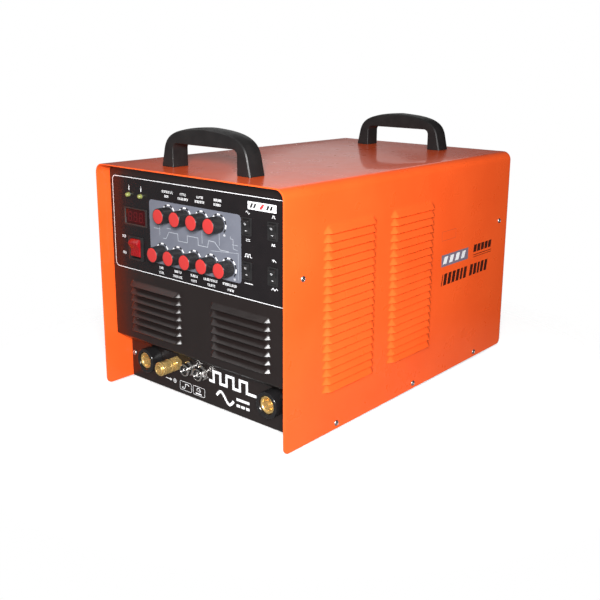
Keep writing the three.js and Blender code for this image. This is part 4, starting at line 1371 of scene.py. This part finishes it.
def build_gas_inlet():
    """A hose barb and the nut that holds it to the rear panel."""
    middle = centre_mm("gas_inlet")
    barbs = []
    for z in (4.7, 7.0, 9.3):
        barbs += [(4.0, z), (3.1, z + 2)]
    profile = [(2, -12), (6, -12), (6, 1), (4.6, 3.2)] + barbs + [(2.9, 12), (2, 12), (2, -12)]
    tail = turned(profile, 0.15, 72, 2)
    nut = turned([(5.4, 0), (8.7, 0), (8.7, 3.4), (7.9, 4), (5.4, 4), (5.4, 0)], [0, 0.2, 0.6, 0.3, 0.1, 0],
                 96, 3, within_hexagon(15))
    build("inlet_tail", tail.join(nut), "brass", on_rear(middle.x, middle.z, REAR_Y + GAP), ["gas_inlet"],
          smooth=36, weld=False)


def build_gland():
    """The mains gland: a ribbed body, open at its end, and its nut."""
    middle = centre_mm("cable_gland")

    def ribbed(angle, radius, height):
        on_grip = 5.4 < height < 8.9 and radius > 11
        return radius - 0.4 * (0.5 - 0.5 * math.cos(angle * 18)) if on_grip else radius

    body = turned([(6, -9), (10, -9), (10, 4.6), (11.2, 5.2), (11.2, 9), (8.6, 12), (6, 12), (6, -9)],
                  [0, 0.3, 0.2, 0.4, 1.0, 0.8, 0.5, 0], 108, 3, ribbed)
    nut = turned([(9.6, 0), (13.8, 0), (13.8, 4), (12.8, 4.8), (9.6, 4.8), (9.6, 0)],
                 [0, 0.2, 0.7, 0.4, 0.1, 0], 96, 3, within_hexagon(24))
    build("gland_body", body.join(nut), "black_plastic", on_rear(middle.x, middle.z, REAR_Y + GAP),
          ["cable_gland"], smooth=36, weld=False)


def dress_cad():
    """The CAD nodes that stay in view get the finished materials."""
    for node, material in CAD_MATERIALS.items():
        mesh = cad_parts[node].data
        mesh.materials.clear()
        mesh.materials.append(MATERIALS[material])


# ---------------------------------------------------------------- stage, light and camera


def build_stage():
    """A round floor, pale to the camera and grey to the machine, that fades out so that it has no horizon."""
    floor = Surface("studio_floor", Specular_IOR_Level=0.1, Roughness=0.8, Emission_Color=(1, 1, 1, 1))
    seen = floor.node("LightPath").outputs["Is Camera Ray"]
    pale = floor.blend(floor.noise(3, 2), (0.86, 0.86, 0.86), (0.88, 0.88, 0.88))
    mix = floor.node("Mix", {"data_type": "RGBA"}, Factor=seen)
    mix.inputs[6].default_value = (0.22, 0.22, 0.22, 1)
    floor.tree.links.new(pale, mix.inputs[7])
    floor.link(mix.outputs[2], "Base Color")
    floor.link(floor.spread(seen, 0.0, FLOOR_GLOW, 0.0, 1.0), "Emission Strength")
    reach = floor.node("VectorMath", {"operation": "LENGTH"}, Vector=floor.place).outputs["Value"]
    floor.link(floor.spread(reach, 1.0, 0.0, *FLOOR_FADE), "Alpha")
    shape = Shape().loft([level(circle(r, 96), 0) for r in FLOOR_RINGS], cap_end=False)
    add_mesh("floor", shape, floor.material)


def build_light():
    """A white background, a dim even room for the surfaces to reflect, and soft lamps."""
    world = bpy.data.worlds.new("studio")
    bpy.context.scene.world = world
    world.use_nodes = True
    tree = world.node_tree
    seen = add_node(tree, "LightPath").outputs["Is Camera Ray"]
    where = add_node(tree, "TexCoord").outputs["Generated"]
    toward = add_node(tree, "VectorMath", {"operation": "DOT_PRODUCT"}, Vector=where)
    toward.inputs[1].default_value = ROOM_BRIGHT_SIDE
    room = add_node(tree, "MapRange", Value=toward.outputs["Value"], From_Min=-0.8, From_Max=0.8,
                    To_Min=ROOM_LIGHT[0], To_Max=ROOM_LIGHT[1])
    strength = add_node(tree, "MapRange", Value=seen, To_Min=room.outputs["Result"], To_Max=1.0)
    background = tree.nodes["Background"]
    background.inputs["Color"].default_value = (1, 1, 1, 1)
    tree.links.new(strength.outputs["Result"], background.inputs["Strength"])
    for lamp in LAMPS:
        add_area(*lamp)


def add_area(name, location, target, size, power, lights, mirrored):
    data = bpy.data.lights.new(name, "AREA")
    data.shape = "DISK"
    data.size = size
    data.energy = power
    light = add_object(name, data)
    light.location = location
    light.visible_camera = False
    light.visible_diffuse = lights
    light.visible_glossy = mirrored
    light.rotation_mode = "QUATERNION"
    light.rotation_quaternion = (Vector(target) - Vector(location)).to_track_quat("-Z", "Y")


def build_camera():
    azimuth, elevation, roll = (math.radians(CAMERA[key]) for key in ("azimuth", "elevation", "roll"))
    back = Vector((math.sin(azimuth) * math.cos(elevation), -math.cos(azimuth) * math.cos(elevation),
                   math.sin(elevation)))
    flat_right = (-back).cross(Vector((0, 0, 1))).normalized()
    flat_up = flat_right.cross(-back)
    right = flat_right * math.cos(roll) + flat_up * math.sin(roll)
    up = flat_up * math.cos(roll) - flat_right * math.sin(roll)
    data = bpy.data.cameras.new("camera")
    data.sensor_width = CAMERA["sensor"]
    data.lens = CAMERA["lens"]
    data.shift_x, data.shift_y = CAMERA["shift"]
    camera = add_object("camera", data)
    turn = Matrix((right, up, back)).transposed()
    camera.matrix_world = Matrix.Translation(CAMERA["place"]) @ turn.to_4x4()
    bpy.context.scene.camera = camera


build_cover()
build_front_panel()
build_handles()
build_screws()
build_overlay()
build_panel_signs()
build_panel_lines()
build_panel_badge()
build_dials()
build_switches()
build_display()
build_lamps()
build_output_sockets()
build_coupler()
build_signal_sockets()
build_socket_prints()
build_side_prints()
build_feet()
build_rating_plate()
build_earth_bolt()
build_gas_inlet()
build_gland()
dress_cad()
build_stage()
build_light()
build_camera()
bpy.context.scene.view_settings.view_transform = "Standard"
